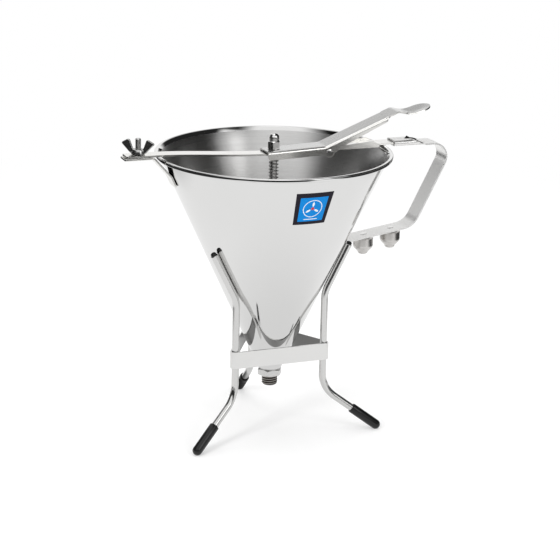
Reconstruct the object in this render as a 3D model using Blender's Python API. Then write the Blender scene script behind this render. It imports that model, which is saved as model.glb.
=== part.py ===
"""Piston funnel standing in a wire tripod.

A sheet cone with a rolled rim carries a strip handle, a clamped crossbar and a
thumb lever. Pressing the lever lifts a sprung rod whose tapered plug closes the
outlet. The cone stands loosely in a tripod of three bent wires held by a band.

Metres, +Z up. The origin is on the table, below the middle of the whole object.
Everything is placed from the cone's axis, with the handle towards +X.
"""

import math

import bmesh
import bpy
from mathutils import Matrix, Vector

# Gaps and facets shared by all pieces
CLEARANCE = 0.0003
CUT_OVERRUN = 0.002
MERGE_DISTANCE = 0.000001
FLATNESS = 0.000002
ARC_STEP = math.radians(15.0)
EDGE_BREAK = 0.0003
ROUND_ANGLE = math.radians(35.0)

# Cone
RIM_HEIGHT = 0.2376
RIM_RADIUS = 0.0960
BEAD_RADIUS = 0.0016
SHEET = 0.0009
OUTLET_HEIGHT = 0.0532
OUTLET_RADIUS = 0.0098
CONE_STEPS = 60
BEAD_STEPS = 9

# Outlet fitting below the cone
SPIGOT_FLATS = 0.0184
SPIGOT_NECK_RADIUS = 0.0091
SPIGOT_NECK_LENGTH = 0.0007
SPIGOT_HEX_LENGTH = 0.0060
SPIGOT_CHAMFER = 0.0020
THREAD_RADIUS = 0.0066
THREAD_LENGTH = 0.0084
THREAD_CHAMFER = 0.0010
OUTLET_BORE_RADIUS = 0.0044
THROAT_DEPTH = 0.0060

# Rod, its plug, its cap nut and the spring's stop
ROD_RADIUS = 0.0027
ROD_STEPS = 20
PLUG_SHOULDER = 0.0030
PLUG_BODY_LENGTH = 0.0060
PLUG_CROWN_LENGTH = 0.0030
PLUG_BORE_DEPTH = 0.0060
CAP_FLATS = 0.0092
CAP_HEX_LENGTH = 0.0062
CAP_DOME_LENGTH = 0.0069
CAP_DOME_RADIUS = 0.0042
CAP_DOME_STEPS = 6
CAP_CHAMFER = 0.0006
CAP_BORE_DEPTH = 0.0090
WASHER_RADIUS = 0.0050
WASHER_THICKNESS = 0.0012
STOP_PIN_RADIUS = 0.0011
STOP_PIN_LENGTH = 0.0088

# Spring round the rod, below the crossbar
SPRING_WIRE_RADIUS = 0.00055
SPRING_LENGTH = 0.0480
SPRING_CURLS = 17
SPRING_POINTS = 9

# Crossbar over the rim
BAR_WIDTH = 0.0130
BAR_THICKNESS = 0.0015
BAR_OVERHANG = 0.0294
BAR_TONGUE_LENGTH = 0.0140
BAR_LEFT_RISE = 0.0028
BAR_DIP = 0.0037
BAR_DIP_CENTRE = -0.0050
BAR_DIP_LEFT_REACH = 0.1000
BAR_DIP_RIGHT_REACH = 0.0750
BAR_STEPS = 26

# Bracket, stud and wing nut at the crossbar's left end
BRACKET_WIDTH = 0.0140
BRACKET_THICKNESS = 0.0018
BRACKET_FOOT_DROP = 0.0215
BRACKET_FOOT_LENGTH = 0.0090
BRACKET_OVERHANG = 0.0016
BRACKET_BEND_RADIUS = 0.0040
BRACKET_SHOULDER = 0.0085
STUD_INSET = 0.0112
STUD_RADIUS = 0.0025
STUD_RISE = 0.0133
WING_HUB_RADIUS = 0.0056
WING_HUB_TOP_RADIUS = 0.0047
WING_HUB_HEIGHT = 0.0043
WING_THICKNESS = 0.0022
WING_REACH = 0.0136
WING_RISE = 0.0125
WING_BREADTH = 0.0064
WING_ROOT_RADIUS = 0.0038
WING_END_STEPS = 6
WING_TURN = math.radians(-34.0)

# Handle: one strip from the cone's wall round to the rolled sleeve
HANDLE_WIDTH = 0.0190
HANDLE_THICKNESS = 0.0013
HANDLE_FOOT_LENGTH = 0.0110
HANDLE_FOOT_BEND = 0.0040
HANDLE_FOOT_DROP = 0.0793
HANDLE_LOWER_SLOPE = math.radians(8.5)
HANDLE_REACH = 0.0263
HANDLE_LOWER_BEND = 0.0170
HANDLE_TOP_LENGTH = 0.0551
HANDLE_UPPER_BEND = 0.0120
SLEEVE_MOUTH_GAP = 0.0069
SLEEVE_LENGTH = 0.0110
SLEEVE_FLARE_LENGTH = 0.0180
SLEEVE_INNER_WIDTH = 0.0138
SLEEVE_INNER_HEIGHT = 0.0021
SLEEVE_SEAM = 0.0008
SLEEVE_FLARE_STEPS = 12
SLIT_SHARE = 0.5
WING_COLUMNS = 5

# Pivot bracket under the crossbar and the lever's pin
PIVOT_INSET = 0.0521
PIN_RADIUS = 0.0020
PIN_HEAD_RADIUS = 0.0032
PIN_HEAD_HEIGHT = 0.0009
CHEEK_THICKNESS = 0.0012
EAR_RADIUS = 0.0038
CHEEK_LENGTH = 0.0450
CHEEK_PEAK_INSET = 0.0055
CHEEK_PEAK_RISE = 0.0025
SADDLE_START = 0.0085
SADDLE_STEPS = 6

# Lever
LEVER_WIDTH = 0.0190
LEVER_SHEET = 0.0012
LEVER_OVERHANG = 0.0085
LEVER_BEND_INSET = 0.0035
LEVER_BAR_GAP = 0.0005
LEVER_SHORT_SLOPE = math.radians(2.1)
LEVER_LONG_SLOPE = math.radians(21.5)
LEVER_ARM_LENGTH = 0.0611
LEVER_NECK_SLOPE = math.radians(-12.0)
LEVER_NECK_LENGTH = 0.0120
SPOON_LENGTH = 0.0196
SPOON_SLOPE = math.radians(15.5)
SPOON_HALF_WIDTH = 0.0104
SPOON_DISH = 0.0016
NECK_HALF_WIDTH = 0.0090
LEVER_BEND_RADIUS = 0.0100
CREST_RADIUS = 0.0060
VALLEY_RADIUS = 0.0220
FLANGE_DEPTH = 0.0060
FLANGE_TIP_DEPTH = 0.0026
FLANGE_END_INSET = 0.0090
ROD_SLOT_LEFT = 0.0054
ROD_SLOT_RIGHT = 0.0036
SLOT_STEPS = 6
COLUMN_SHARES = (-0.45, 0.0, 0.45)
SPOON_END_STEPS = 6
SPOON_END_SHARE = 0.96
DISH_REACH_SHARE = 0.87
ROD_SLOT_HALF_WIDTH = 0.0032

# Stand of bent wire
LEG_AZIMUTHS = {
    "right": math.radians(-30.0),
    "back": math.radians(90.0),
    "left": math.radians(210.0),
}
WIRE_RADIUS = 0.0030
WIRE_STEPS = 16
LEG_SPREADS = {
    "right": math.radians(8.5),
    "back": 0.0,
    "left": math.radians(-8.5),
}
FOOT_SWINGS = {
    "right": math.radians(14.0),
    "back": math.radians(-8.0),
    "left": 0.0,
}
LEG_CIRCLE = 0.0450
LEG_TOP_LENGTH = 0.0440
LEG_BEND_RADIUS = 0.0250
FOOT_INSET = 0.0062
FOOT_SLOPE = math.radians(36.0)
BOOT_RADIUS = 0.0041
BOOT_LENGTH = 0.0300
BOOT_TIP_WALL = 0.0020
BOOT_STEPS = 16
FOOT_FLAT_DEPTH = 0.00025
LEG_PLUG_RADIUS = 0.0023
LEG_PLUG_HEIGHT = 0.0026
LEG_PLUG_STEPS = 4
LEG_PLUG_STEM_RADIUS = 0.0017
LEG_PLUG_STEM_LENGTH = 0.0060
BAND_MIDDLE = 0.0708
BAND_HEIGHT = 0.0144
BAND_THICKNESS = 0.0012
BAND_CORNER_STEPS = 8

# Spare nozzles on posts under the handle
NOZZLE_INSETS = {"inner": 0.0419, "outer": 0.0173}
POST_RADIUS = 0.0060
POST_LENGTH = 0.0062
NOZZLE_RADIUS = 0.0085
NOZZLE_BODY_LENGTH = 0.0078
NOZZLE_TAPER_LENGTH = 0.0044
NOZZLE_TIP_RADIUS = 0.0044
NOZZLE_TIP_LENGTH = 0.0022
NOZZLE_TIP_STEPS = 3
NOZZLE_HOLE_RADII = {"inner": 0.0015, "outer": 0.0022}
NOZZLE_THREAD_DEPTH = 0.0072

# Colours, roughness and metallic value
STEEL = ((0.78, 0.78, 0.76), 0.22, 1.0)
POLISHED = ((0.82, 0.82, 0.81), 0.08, 1.0)
SATIN = ((0.72, 0.72, 0.71), 0.35, 1.0)
BLACK_VINYL = ((0.02, 0.02, 0.02), 0.30, 0.0)
GREY_SEAL = ((0.62, 0.62, 0.60), 0.45, 0.0)


# Cone geometry that other pieces follow
CONE_LEAN = math.atan2(RIM_RADIUS - BEAD_RADIUS - OUTLET_RADIUS, RIM_HEIGHT - OUTLET_HEIGHT)


def cone_radius(height):
    """Outer radius of the cone's wall at a height above the table."""
    return OUTLET_RADIUS + (height - OUTLET_HEIGHT) * math.tan(CONE_LEAN)


def wall_offset(distance):
    """Level distance that stands `distance` square off the sloping wall."""
    return distance / math.cos(CONE_LEAN)


# Crossbar geometry that the lever, the spring and the sleeve follow
BEAD_TOP = RIM_HEIGHT + BEAD_RADIUS
RIM_REACH = RIM_RADIUS + BEAD_RADIUS
FOOT_CIRCLE = RIM_REACH - FOOT_INSET
BAR_RIGHT_LEVEL = BEAD_TOP + CLEARANCE
SLEEVE_MOUTH = RIM_REACH + SLEEVE_MOUTH_GAP
BAR_LEFT_END = -RIM_REACH - BAR_OVERHANG
BAR_RIGHT_END = SLEEVE_MOUTH + BAR_TONGUE_LENGTH
PIVOT_OFFSET = RIM_REACH - PIVOT_INSET
LEVER_LEFT_END = -LEVER_OVERHANG
LEVER_BEND_OFFSET = PIVOT_OFFSET - LEVER_BEND_INSET
LEVER_CREST_OFFSET = PIVOT_OFFSET + LEVER_ARM_LENGTH


def bar_underside(offset):
    """Height of the crossbar's underside: a shallow dip between level ends."""
    along = (offset - BAR_LEFT_END) / (BAR_RIGHT_END - BAR_LEFT_END)
    level = BAR_RIGHT_LEVEL + BAR_LEFT_RISE * (1.0 - along)
    reach = BAR_DIP_LEFT_REACH if offset < BAR_DIP_CENTRE else BAR_DIP_RIGHT_REACH
    share = abs(offset - BAR_DIP_CENTRE) / reach
    if share >= 1.0:
        return level
    return level - BAR_DIP * (1.0 + math.cos(math.pi * share)) / 2.0


def bar_top(offset):
    return bar_underside(offset) + BAR_THICKNESS


PIVOT_HEIGHT = bar_underside(PIVOT_OFFSET) - CLEARANCE - PIN_RADIUS
CHEEK_INNER = BAR_WIDTH / 2.0 + CLEARANCE
CHEEK_OUTER = CHEEK_INNER + CHEEK_THICKNESS
STUD_OFFSET = BAR_LEFT_END + STUD_INSET


# Paths made of straight runs and arcs, in the plane of the handle
def heading(start, end):
    return math.atan2(end[1] - start[1], end[0] - start[0])


def arc_points(corner, before, after, radius):
    """Stations (x, z, heading) round the fillet of one corner."""
    first = heading(before, corner)
    turn = heading(corner, after) - first
    turn = math.atan2(math.sin(turn), math.cos(turn))
    tangent = radius * abs(math.tan(turn / 2.0))
    start = (corner[0] - tangent * math.cos(first), corner[1] - tangent * math.sin(first))
    side = 1.0 if turn > 0.0 else -1.0
    centre = (start[0] - side * radius * math.sin(first), start[1] + side * radius * math.cos(first))
    steps = max(2, math.ceil(abs(turn) / ARC_STEP))
    stations = []
    for step in range(steps + 1):
        angle = first + turn * step / steps
        stations.append((
            centre[0] + side * radius * math.sin(angle),
            centre[1] - side * radius * math.cos(angle),
            angle,
        ))
    return stations


def rounded_path(corners, radii):
    """Stations (x, z, heading) along corners joined by straight runs and fillets."""
    stations = [(corners[0][0], corners[0][1], heading(corners[0], corners[1]))]
    for index in range(1, len(corners) - 1):
        corner = corners[index]
        stations.extend(arc_points(corner, corners[index - 1], corners[index + 1], radii[index - 1]))
    stations.append((corners[-1][0], corners[-1][1], heading(corners[-2], corners[-1])))
    return stations


def divided(stations, longest):
    """The same path with its straight runs cut to pieces no longer than `longest`."""
    result = [stations[0]]
    for station in stations[1:]:
        previous = result[-1]
        run = math.hypot(station[0] - previous[0], station[1] - previous[1])
        count = max(1, math.ceil(run / longest))
        for step in range(1, count):
            share = step / count
            result.append((
                previous[0] + (station[0] - previous[0]) * share,
                previous[1] + (station[1] - previous[1]) * share,
                station[2],
            ))
        result.append(station)
    return result


def off_path(station, distance):
    """Point at a distance square off the path, on the left of its heading."""
    return (
        station[0] - distance * math.sin(station[2]),
        station[1] + distance * math.cos(station[2]),
    )


# Scene, materials and objects
def clear_scene():
    for item in list(bpy.data.objects):
        bpy.data.objects.remove(item, do_unlink=True)


def make_material(name, look):
    colour, roughness, metallic = look
    material = bpy.data.materials.new(name)
    material.use_nodes = True
    shader = material.node_tree.nodes["Principled BSDF"]
    shader.inputs["Base Color"].default_value = (*colour, 1.0)
    shader.inputs["Roughness"].default_value = roughness
    shader.inputs["Metallic"].default_value = metallic
    material.diffuse_color = (*colour, 1.0)
    return material


def add_empty(name, location, parent=None):
    empty = bpy.data.objects.new(name, None)
    bpy.context.collection.objects.link(empty)
    empty.location = location
    empty.parent = parent
    return empty


def add_object(name, data, look, parent, location=(0.0, 0.0, 0.0)):
    item = bpy.data.objects.new(name, data)
    bpy.context.collection.objects.link(item)
    item.parent = parent
    item.location = location
    item.data.materials.append(make_material(name, look))
    return item


def to_mesh(name, shape, smooth=True):
    """Mesh with its faces turned outwards, round surfaces shaded smooth."""
    bmesh.ops.recalc_face_normals(shape, faces=shape.faces)
    mesh = bpy.data.meshes.new(name)
    shape.to_mesh(mesh)
    shape.free()
    if smooth:
        mesh.shade_smooth()
        mesh.set_sharp_from_angle(angle=ROUND_ANGLE)
    return mesh


def add_piece(name, shape, look, parent, location=(0.0, 0.0, 0.0), made_at=(0.0, 0.0, 0.0)):
    """Object from a shape; `made_at` is where the shape's own origin was drawn."""
    bmesh.ops.translate(shape, verts=shape.verts, vec=-Vector(made_at))
    return add_object(name, to_mesh(name, shape), look, parent, location)


def add_cutter(name, shape, parent):
    """Guide solid for a Boolean, kept out of the finished model."""
    cutter = bpy.data.objects.new(name, to_mesh(name, shape, smooth=False))
    bpy.context.collection.objects.link(cutter)
    cutter.parent = parent
    cutter.hide_render = True
    cutter.display_type = "WIRE"
    return cutter


def add_boolean(item, other, operation):
    modifier = item.modifiers.new(operation.capitalize() + "_" + other.name, "BOOLEAN")
    modifier.operation = operation
    modifier.solver = "EXACT"
    modifier.object = other


def break_edges(item, width=EDGE_BREAK, segments=1):
    """Small bevel along the sharp edges of a piece."""
    modifier = item.modifiers.new("EdgeBreak", "BEVEL")
    modifier.width = width
    modifier.segments = segments
    modifier.limit_method = "ANGLE"
    modifier.angle_limit = ROUND_ANGLE
    modifier.harden_normals = False


# Shapes
def turned(profile, steps, closed):
    """Solid of revolution about Z from (radius, height) points.

    A closed profile makes a ring; an open one starts and ends on the axis.
    """
    shape = bmesh.new()
    verts = [shape.verts.new((radius, 0.0, height)) for radius, height in profile]
    edges = [shape.edges.new(pair) for pair in zip(verts, verts[1:])]
    if closed:
        edges.append(shape.edges.new((verts[-1], verts[0])))
    bmesh.ops.spin(
        shape,
        geom=verts + edges,
        cent=(0.0, 0.0, 0.0),
        axis=(0.0, 0.0, 1.0),
        angle=math.tau,
        steps=steps,
        use_merge=True,
    )
    bmesh.ops.remove_doubles(shape, verts=shape.verts, dist=MERGE_DISTANCE)
    return shape


def arc_profile(centre, radius, start, end, steps):
    """Points of a round stretch of a turned profile."""
    points = []
    for step in range(steps + 1):
        angle = start + (end - start) * step / steps
        points.append((centre[0] + radius * math.cos(angle), centre[1] + radius * math.sin(angle)))
    return points


def prism(outline, near, far):
    """Flat plate from an (x, z) outline, between two distances along Y."""
    shape = bmesh.new()
    face = shape.faces.new([shape.verts.new((x, near, z)) for x, z in outline])
    grown = bmesh.ops.extrude_face_region(shape, geom=[face], use_keep_orig=True)
    moved = [part for part in grown["geom"] if isinstance(part, bmesh.types.BMVert)]
    bmesh.ops.translate(shape, verts=moved, vec=(0.0, far - near, 0.0))
    return shape


def cylinder(radius, low, high, steps, centre=(0.0, 0.0)):
    """Upright round bar between two heights."""
    shape = turned([(0.0, low), (radius, low), (radius, high), (0.0, high)], steps, closed=False)
    bmesh.ops.translate(shape, verts=shape.verts, vec=(centre[0], centre[1], 0.0))
    return shape


def slot_bar(left, right, half_width, low, high, steps):
    """Upright bar with a slot's outline, along X between two round ends."""
    outline = []
    for step in range(steps + 1):
        angle = -math.pi / 2.0 + math.pi * step / steps
        outline.append((right - half_width + half_width * math.cos(angle), half_width * math.sin(angle)))
    for step in range(steps + 1):
        angle = math.pi / 2.0 + math.pi * step / steps
        outline.append((left + half_width + half_width * math.cos(angle), half_width * math.sin(angle)))
    shape = bmesh.new()
    face = shape.faces.new([shape.verts.new((x, y, low)) for x, y in outline])
    grown = bmesh.ops.extrude_face_region(shape, geom=[face], use_keep_orig=True)
    moved = [part for part in grown["geom"] if isinstance(part, bmesh.types.BMVert)]
    bmesh.ops.translate(shape, verts=moved, vec=(0.0, 0.0, high - low))
    return shape


def thick_sheet(rows):
    """Closed sheet from rows of (under point, upper point) pairs."""
    shape = bmesh.new()
    row_layer = shape.verts.layers.int.new("row")
    grid = []
    for number, row in enumerate(rows):
        line = []
        for under, upper in row:
            pair = (shape.verts.new(under), shape.verts.new(upper))
            for vert in pair:
                vert[row_layer] = number
            line.append(pair)
        grid.append(line)
    columns = len(grid[0])
    for this, following in zip(grid, grid[1:]):
        for column in range(columns - 1):
            for side in (0, 1):
                shape.faces.new((
                    this[column][side],
                    this[column + 1][side],
                    following[column + 1][side],
                    following[column][side],
                ))
        for column in (0, columns - 1):
            shape.faces.new((
                this[column][0],
                this[column][1],
                following[column][1],
                following[column][0],
            ))
    for line in (grid[0], grid[-1]):
        for column in range(columns - 1):
            shape.faces.new((
                line[column][0],
                line[column + 1][0],
                line[column + 1][1],
                line[column][1],
            ))
    return shape, grid


def split_warped(shape):
    """Cuts each face whose corners don't share a plane into triangles."""
    shape.normal_update()
    warped = []
    for face in shape.faces:
        middle = face.calc_center_median()
        if max(abs((vert.co - middle).dot(face.normal)) for vert in face.verts) > FLATNESS:
            warped.append(face)
    bmesh.ops.triangulate(shape, faces=warped)


def flat_strip(stations, width, thickness):
    """Strip of constant width bent along a path in the XZ plane."""
    rows = []
    for station in stations:
        under = off_path(station, -thickness / 2.0)
        upper = off_path(station, thickness / 2.0)
        rows.append([
            ((under[0], across, under[1]), (upper[0], across, upper[1]))
            for across in (-width / 2.0, width / 2.0)
        ])
    return thick_sheet(rows)[0]


def wire_bend(corner, before, after, radius):
    """Places and directions round the fillet of one corner in space."""
    first = (corner - before).normalized()
    last = (after - corner).normalized()
    turn = first.angle(last)
    axis = first.cross(last).normalized()
    start = corner - first * radius * math.tan(turn / 2.0)
    centre = start + axis.cross(first) * radius
    steps = max(2, math.ceil(turn / ARC_STEP))
    stations = []
    for step in range(steps + 1):
        spin = Matrix.Rotation(turn * step / steps, 3, axis)
        stations.append((centre + spin @ (start - centre), spin @ first))
    return stations


def bent_wire(corners, radii, radius, steps):
    """Solid round wire swept along straight runs and fillets in space."""
    stations = [(corners[0], (corners[1] - corners[0]).normalized())]
    for index, bend in enumerate(radii, start=1):
        stations += wire_bend(corners[index], corners[index - 1], corners[index + 1], bend)
    stations.append((corners[-1], (corners[-1] - corners[-2]).normalized()))
    shape = bmesh.new()
    rings = []
    direction = stations[0][1]
    side = Vector((0.0, 0.0, 1.0)).cross(direction).normalized()
    for place, tangent in stations:
        side = direction.rotation_difference(tangent) @ side
        direction = tangent
        ring = []
        for step in range(steps):
            angle = math.tau * step / steps
            arm = Matrix.Rotation(angle, 3, tangent) @ side
            ring.append(shape.verts.new(place + arm * radius))
        rings.append(ring)
    for ring, following in zip(rings, rings[1:]):
        for step in range(steps):
            after = (step + 1) % steps
            shape.faces.new((ring[step], ring[after], following[after], following[step]))
    shape.faces.new(rings[0])
    shape.faces.new(rings[-1])
    return shape


# Cone with its rolled rim
def make_cone(axis):
    centre = (RIM_RADIUS, RIM_HEIGHT)
    inner_bottom = OUTLET_RADIUS - wall_offset(SHEET)
    joint_height = RIM_HEIGHT - BEAD_RADIUS
    profile = [(OUTLET_RADIUS, OUTLET_HEIGHT), (cone_radius(joint_height), joint_height)]
    profile += arc_profile(centre, BEAD_RADIUS, math.radians(-90.0), math.radians(150.0), BEAD_STEPS)
    inner_top = RIM_HEIGHT - BEAD_RADIUS
    profile.append((cone_radius(inner_top) - wall_offset(SHEET), inner_top))
    profile.append((inner_bottom, OUTLET_HEIGHT))
    add_piece("funnel_cone", turned(profile, CONE_STEPS, closed=True), POLISHED, axis)


# Hexagonal fitting with the thread that a nozzle screws on
def make_hexagonal(item, flats, low, high, parent, centre=(0.0, 0.0)):
    """Keeps only what lies inside an upright hexagon of the given width."""
    corner = flats / 2.0 / math.cos(math.pi / 6.0)
    blank = cylinder(corner, low, high, 6, centre)
    add_boolean(item, add_cutter("hexagon_" + item.name, blank, parent), "INTERSECT")


def make_spigot(axis):
    corner = SPIGOT_FLATS / 2.0 / math.cos(math.pi / 6.0)
    top = OUTLET_HEIGHT - CLEARANCE
    hex_top = top - SPIGOT_NECK_LENGTH
    hex_bottom = hex_top - SPIGOT_HEX_LENGTH
    tip = hex_bottom - THREAD_LENGTH
    throat_radius = OUTLET_RADIUS - wall_offset(SHEET)
    slant = SPIGOT_CHAMFER / 2.0
    profile = [
        (throat_radius, top),
        (SPIGOT_NECK_RADIUS, top),
        (SPIGOT_NECK_RADIUS, hex_top),
        (corner - SPIGOT_CHAMFER, hex_top),
        (corner, hex_top - slant),
        (corner, hex_bottom + slant),
        (corner - SPIGOT_CHAMFER, hex_bottom),
        (THREAD_RADIUS, hex_bottom),
        (THREAD_RADIUS, tip + THREAD_CHAMFER),
        (THREAD_RADIUS - THREAD_CHAMFER, tip),
        (OUTLET_BORE_RADIUS, tip),
        (OUTLET_BORE_RADIUS, top - THROAT_DEPTH),
    ]
    spigot = add_piece("outlet_spigot", turned(profile, CONE_STEPS // 2, closed=True), SATIN, axis)
    make_hexagonal(spigot, SPIGOT_FLATS, tip - CUT_OVERRUN, top + CUT_OVERRUN, axis)
    return tip


# Rod with its plug, cap nut and spring stop
def throat_radius_at(height):
    """Inner radius of the tapered throat below the cone."""
    top = OUTLET_HEIGHT - CLEARANCE
    wide = OUTLET_RADIUS - wall_offset(SHEET)
    share = (top - height) / THROAT_DEPTH
    return wide + (OUTLET_BORE_RADIUS - wide) * share


LEVER_TOP_AT_ROD = (
    bar_top(LEVER_BEND_OFFSET)
    + LEVER_BAR_GAP
    + LEVER_SHEET / math.cos(LEVER_SHORT_SLOPE)
    - LEVER_BEND_OFFSET * math.tan(LEVER_SHORT_SLOPE)
)
CAP_HALF_CORNER = CAP_FLATS / 2.0 / math.cos(math.pi / 6.0)
CAP_BOTTOM = LEVER_TOP_AT_ROD + CAP_HALF_CORNER * math.tan(LEVER_SHORT_SLOPE) + CLEARANCE
CAP_TOP = CAP_BOTTOM + CAP_HEX_LENGTH + CAP_DOME_LENGTH
ROD_TOP = CAP_BOTTOM + CAP_BORE_DEPTH - CLEARANCE
PLUG_SEAT_TOP = OUTLET_HEIGHT - CLEARANCE - CLEARANCE
PLUG_SEAT_BOTTOM = PLUG_SEAT_TOP - THROAT_DEPTH + CLEARANCE
ROD_BOTTOM = PLUG_SEAT_TOP + PLUG_BODY_LENGTH + PLUG_CROWN_LENGTH - PLUG_BORE_DEPTH + CLEARANCE
SPRING_TOP = bar_underside(0.0) - CLEARANCE
SPRING_BOTTOM = SPRING_TOP - SPRING_LENGTH
WASHER_TOP = SPRING_BOTTOM - CLEARANCE
STOP_PIN_HEIGHT = WASHER_TOP - WASHER_THICKNESS - CLEARANCE - STOP_PIN_RADIUS


def make_rod(axis):
    rod = add_piece("piston_rod", cylinder(ROD_RADIUS, ROD_BOTTOM, ROD_TOP, ROD_STEPS), STEEL, axis)
    hole = cylinder(STOP_PIN_RADIUS + CLEARANCE, -STOP_PIN_LENGTH, STOP_PIN_LENGTH, ROD_STEPS // 2)
    bmesh.ops.rotate(hole, verts=hole.verts, cent=(0.0, 0.0, 0.0), matrix=Matrix.Rotation(math.pi / 2.0, 3, "X"))
    bmesh.ops.translate(hole, verts=hole.verts, vec=(0.0, 0.0, STOP_PIN_HEIGHT))
    add_boolean(rod, add_cutter("rod_pin_hole", hole, axis), "DIFFERENCE")


def make_plug(axis):
    top = PLUG_SEAT_TOP + PLUG_BODY_LENGTH + PLUG_CROWN_LENGTH
    seat_gap = CLEARANCE
    wide = throat_radius_at(PLUG_SEAT_TOP) - seat_gap
    narrow = OUTLET_BORE_RADIUS - seat_gap
    bore = ROD_RADIUS + CLEARANCE
    profile = [
        (0.0, PLUG_SEAT_BOTTOM),
        (narrow, PLUG_SEAT_BOTTOM),
        (wide, PLUG_SEAT_TOP),
        (wide, PLUG_SEAT_TOP + PLUG_BODY_LENGTH),
        (wide - PLUG_SHOULDER, top),
        (bore, top),
        (bore, top - PLUG_BORE_DEPTH),
        (0.0, top - PLUG_BORE_DEPTH),
    ]
    add_piece("closing_plug", turned(profile, ROD_STEPS, closed=False), GREY_SEAL, axis)


def make_cap_nut(axis):
    corner = CAP_HALF_CORNER
    shoulder = CAP_BOTTOM + CAP_HEX_LENGTH
    bore = ROD_RADIUS + CLEARANCE
    dome_base = CAP_TOP - CAP_DOME_RADIUS
    profile = [
        (bore, CAP_BOTTOM),
        (corner - CAP_CHAMFER, CAP_BOTTOM),
        (corner, CAP_BOTTOM + CAP_CHAMFER / 2.0),
        (corner, shoulder - CAP_CHAMFER / 2.0),
        (CAP_DOME_RADIUS, shoulder),
    ]
    dome = arc_profile((0.0, dome_base), CAP_DOME_RADIUS, 0.0, math.pi / 2.0, CAP_DOME_STEPS)
    profile += dome[:-1] + [(0.0, CAP_TOP), (0.0, CAP_BOTTOM + CAP_BORE_DEPTH)]
    profile.append((bore, CAP_BOTTOM + CAP_BORE_DEPTH))
    profile.append((bore, CAP_BOTTOM))
    shape = turned(profile, ROD_STEPS, closed=False)
    nut = add_piece("cap_nut", shape, POLISHED, axis)
    make_hexagonal(nut, CAP_FLATS, CAP_BOTTOM - CUT_OVERRUN, CAP_TOP + CUT_OVERRUN, axis)


def make_spring_stop(axis):
    bore = ROD_RADIUS + CLEARANCE
    bottom = WASHER_TOP - WASHER_THICKNESS
    ring = [(bore, bottom), (WASHER_RADIUS, bottom), (WASHER_RADIUS, WASHER_TOP), (bore, WASHER_TOP)]
    add_piece("spring_washer", turned(ring, ROD_STEPS, closed=True), STEEL, axis)
    half = STOP_PIN_LENGTH / 2.0
    pin = cylinder(STOP_PIN_RADIUS, -half, half, ROD_STEPS // 2)
    bmesh.ops.rotate(pin, verts=pin.verts, cent=(0.0, 0.0, 0.0), matrix=Matrix.Rotation(math.pi / 2.0, 3, "X"))
    add_piece("stop_pin", pin, STEEL, axis, location=(0.0, 0.0, STOP_PIN_HEIGHT))


def make_spring(axis):
    """One open coil of round wire; both ends turn straight on to their seats."""
    mean_radius = ROD_RADIUS + CLEARANCE + SPRING_WIRE_RADIUS
    lead = 2.0 * SPRING_WIRE_RADIUS
    height = SPRING_LENGTH - 2.0 * lead
    count = SPRING_CURLS * SPRING_POINTS
    points = [Vector((mean_radius, 0.0, SPRING_TOP))]
    for step in range(count + 1):
        angle = math.tau * step / SPRING_POINTS
        level = SPRING_TOP - lead - height * step / count
        points.append(Vector((mean_radius * math.cos(angle), mean_radius * math.sin(angle), level)))
    points.append(Vector((points[-1].x, points[-1].y, SPRING_BOTTOM)))
    curve = bpy.data.curves.new("spring", "CURVE")
    curve.dimensions = "3D"
    curve.bevel_depth = SPRING_WIRE_RADIUS
    curve.bevel_resolution = 1
    curve.use_fill_caps = True
    spline = curve.splines.new("POLY")
    spline.points.add(len(points) - 1)
    for slot, point in zip(spline.points, points):
        slot.co = (*point, 1.0)
    add_object("spring", curve, STEEL, axis)
    apart = min(
        (points[first] - points[second]).length
        for first in range(len(points))
        for second in range(first + SPRING_POINTS // 2, len(points))
    )
    print("spring: least gap between curls, mm:", round((apart - 2.0 * SPRING_WIRE_RADIUS) * 1000.0, 3))


# Crossbar
def make_crossbar(axis):
    stations = []
    for step in range(BAR_STEPS + 1):
        offset = BAR_LEFT_END + (BAR_RIGHT_END - BAR_LEFT_END) * step / BAR_STEPS
        middle = bar_underside(offset) + BAR_THICKNESS / 2.0
        stations.append((offset, middle, 0.0))
    bar = add_piece("crossbar", flat_strip(stations, BAR_WIDTH, BAR_THICKNESS), SATIN, axis)
    low = bar_underside(0.0) - CUT_OVERRUN
    rod_hole = cylinder(ROD_RADIUS + CLEARANCE, low, bar_top(0.0) + CUT_OVERRUN, ROD_STEPS)
    add_boolean(bar, add_cutter("bar_rod_hole", rod_hole, axis), "DIFFERENCE")
    low = bar_underside(STUD_OFFSET) - CUT_OVERRUN
    high = bar_top(STUD_OFFSET) + CUT_OVERRUN
    stud_hole = cylinder(STUD_RADIUS + CLEARANCE, low, high, ROD_STEPS, (STUD_OFFSET, 0.0))
    add_boolean(bar, add_cutter("bar_stud_hole", stud_hole, axis), "DIFFERENCE")


# Bracket welded to the wall, its stud and the wing nut
FLANGE_LEVEL = min(bar_underside(BAR_LEFT_END), bar_underside(STUD_OFFSET)) - CLEARANCE


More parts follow.
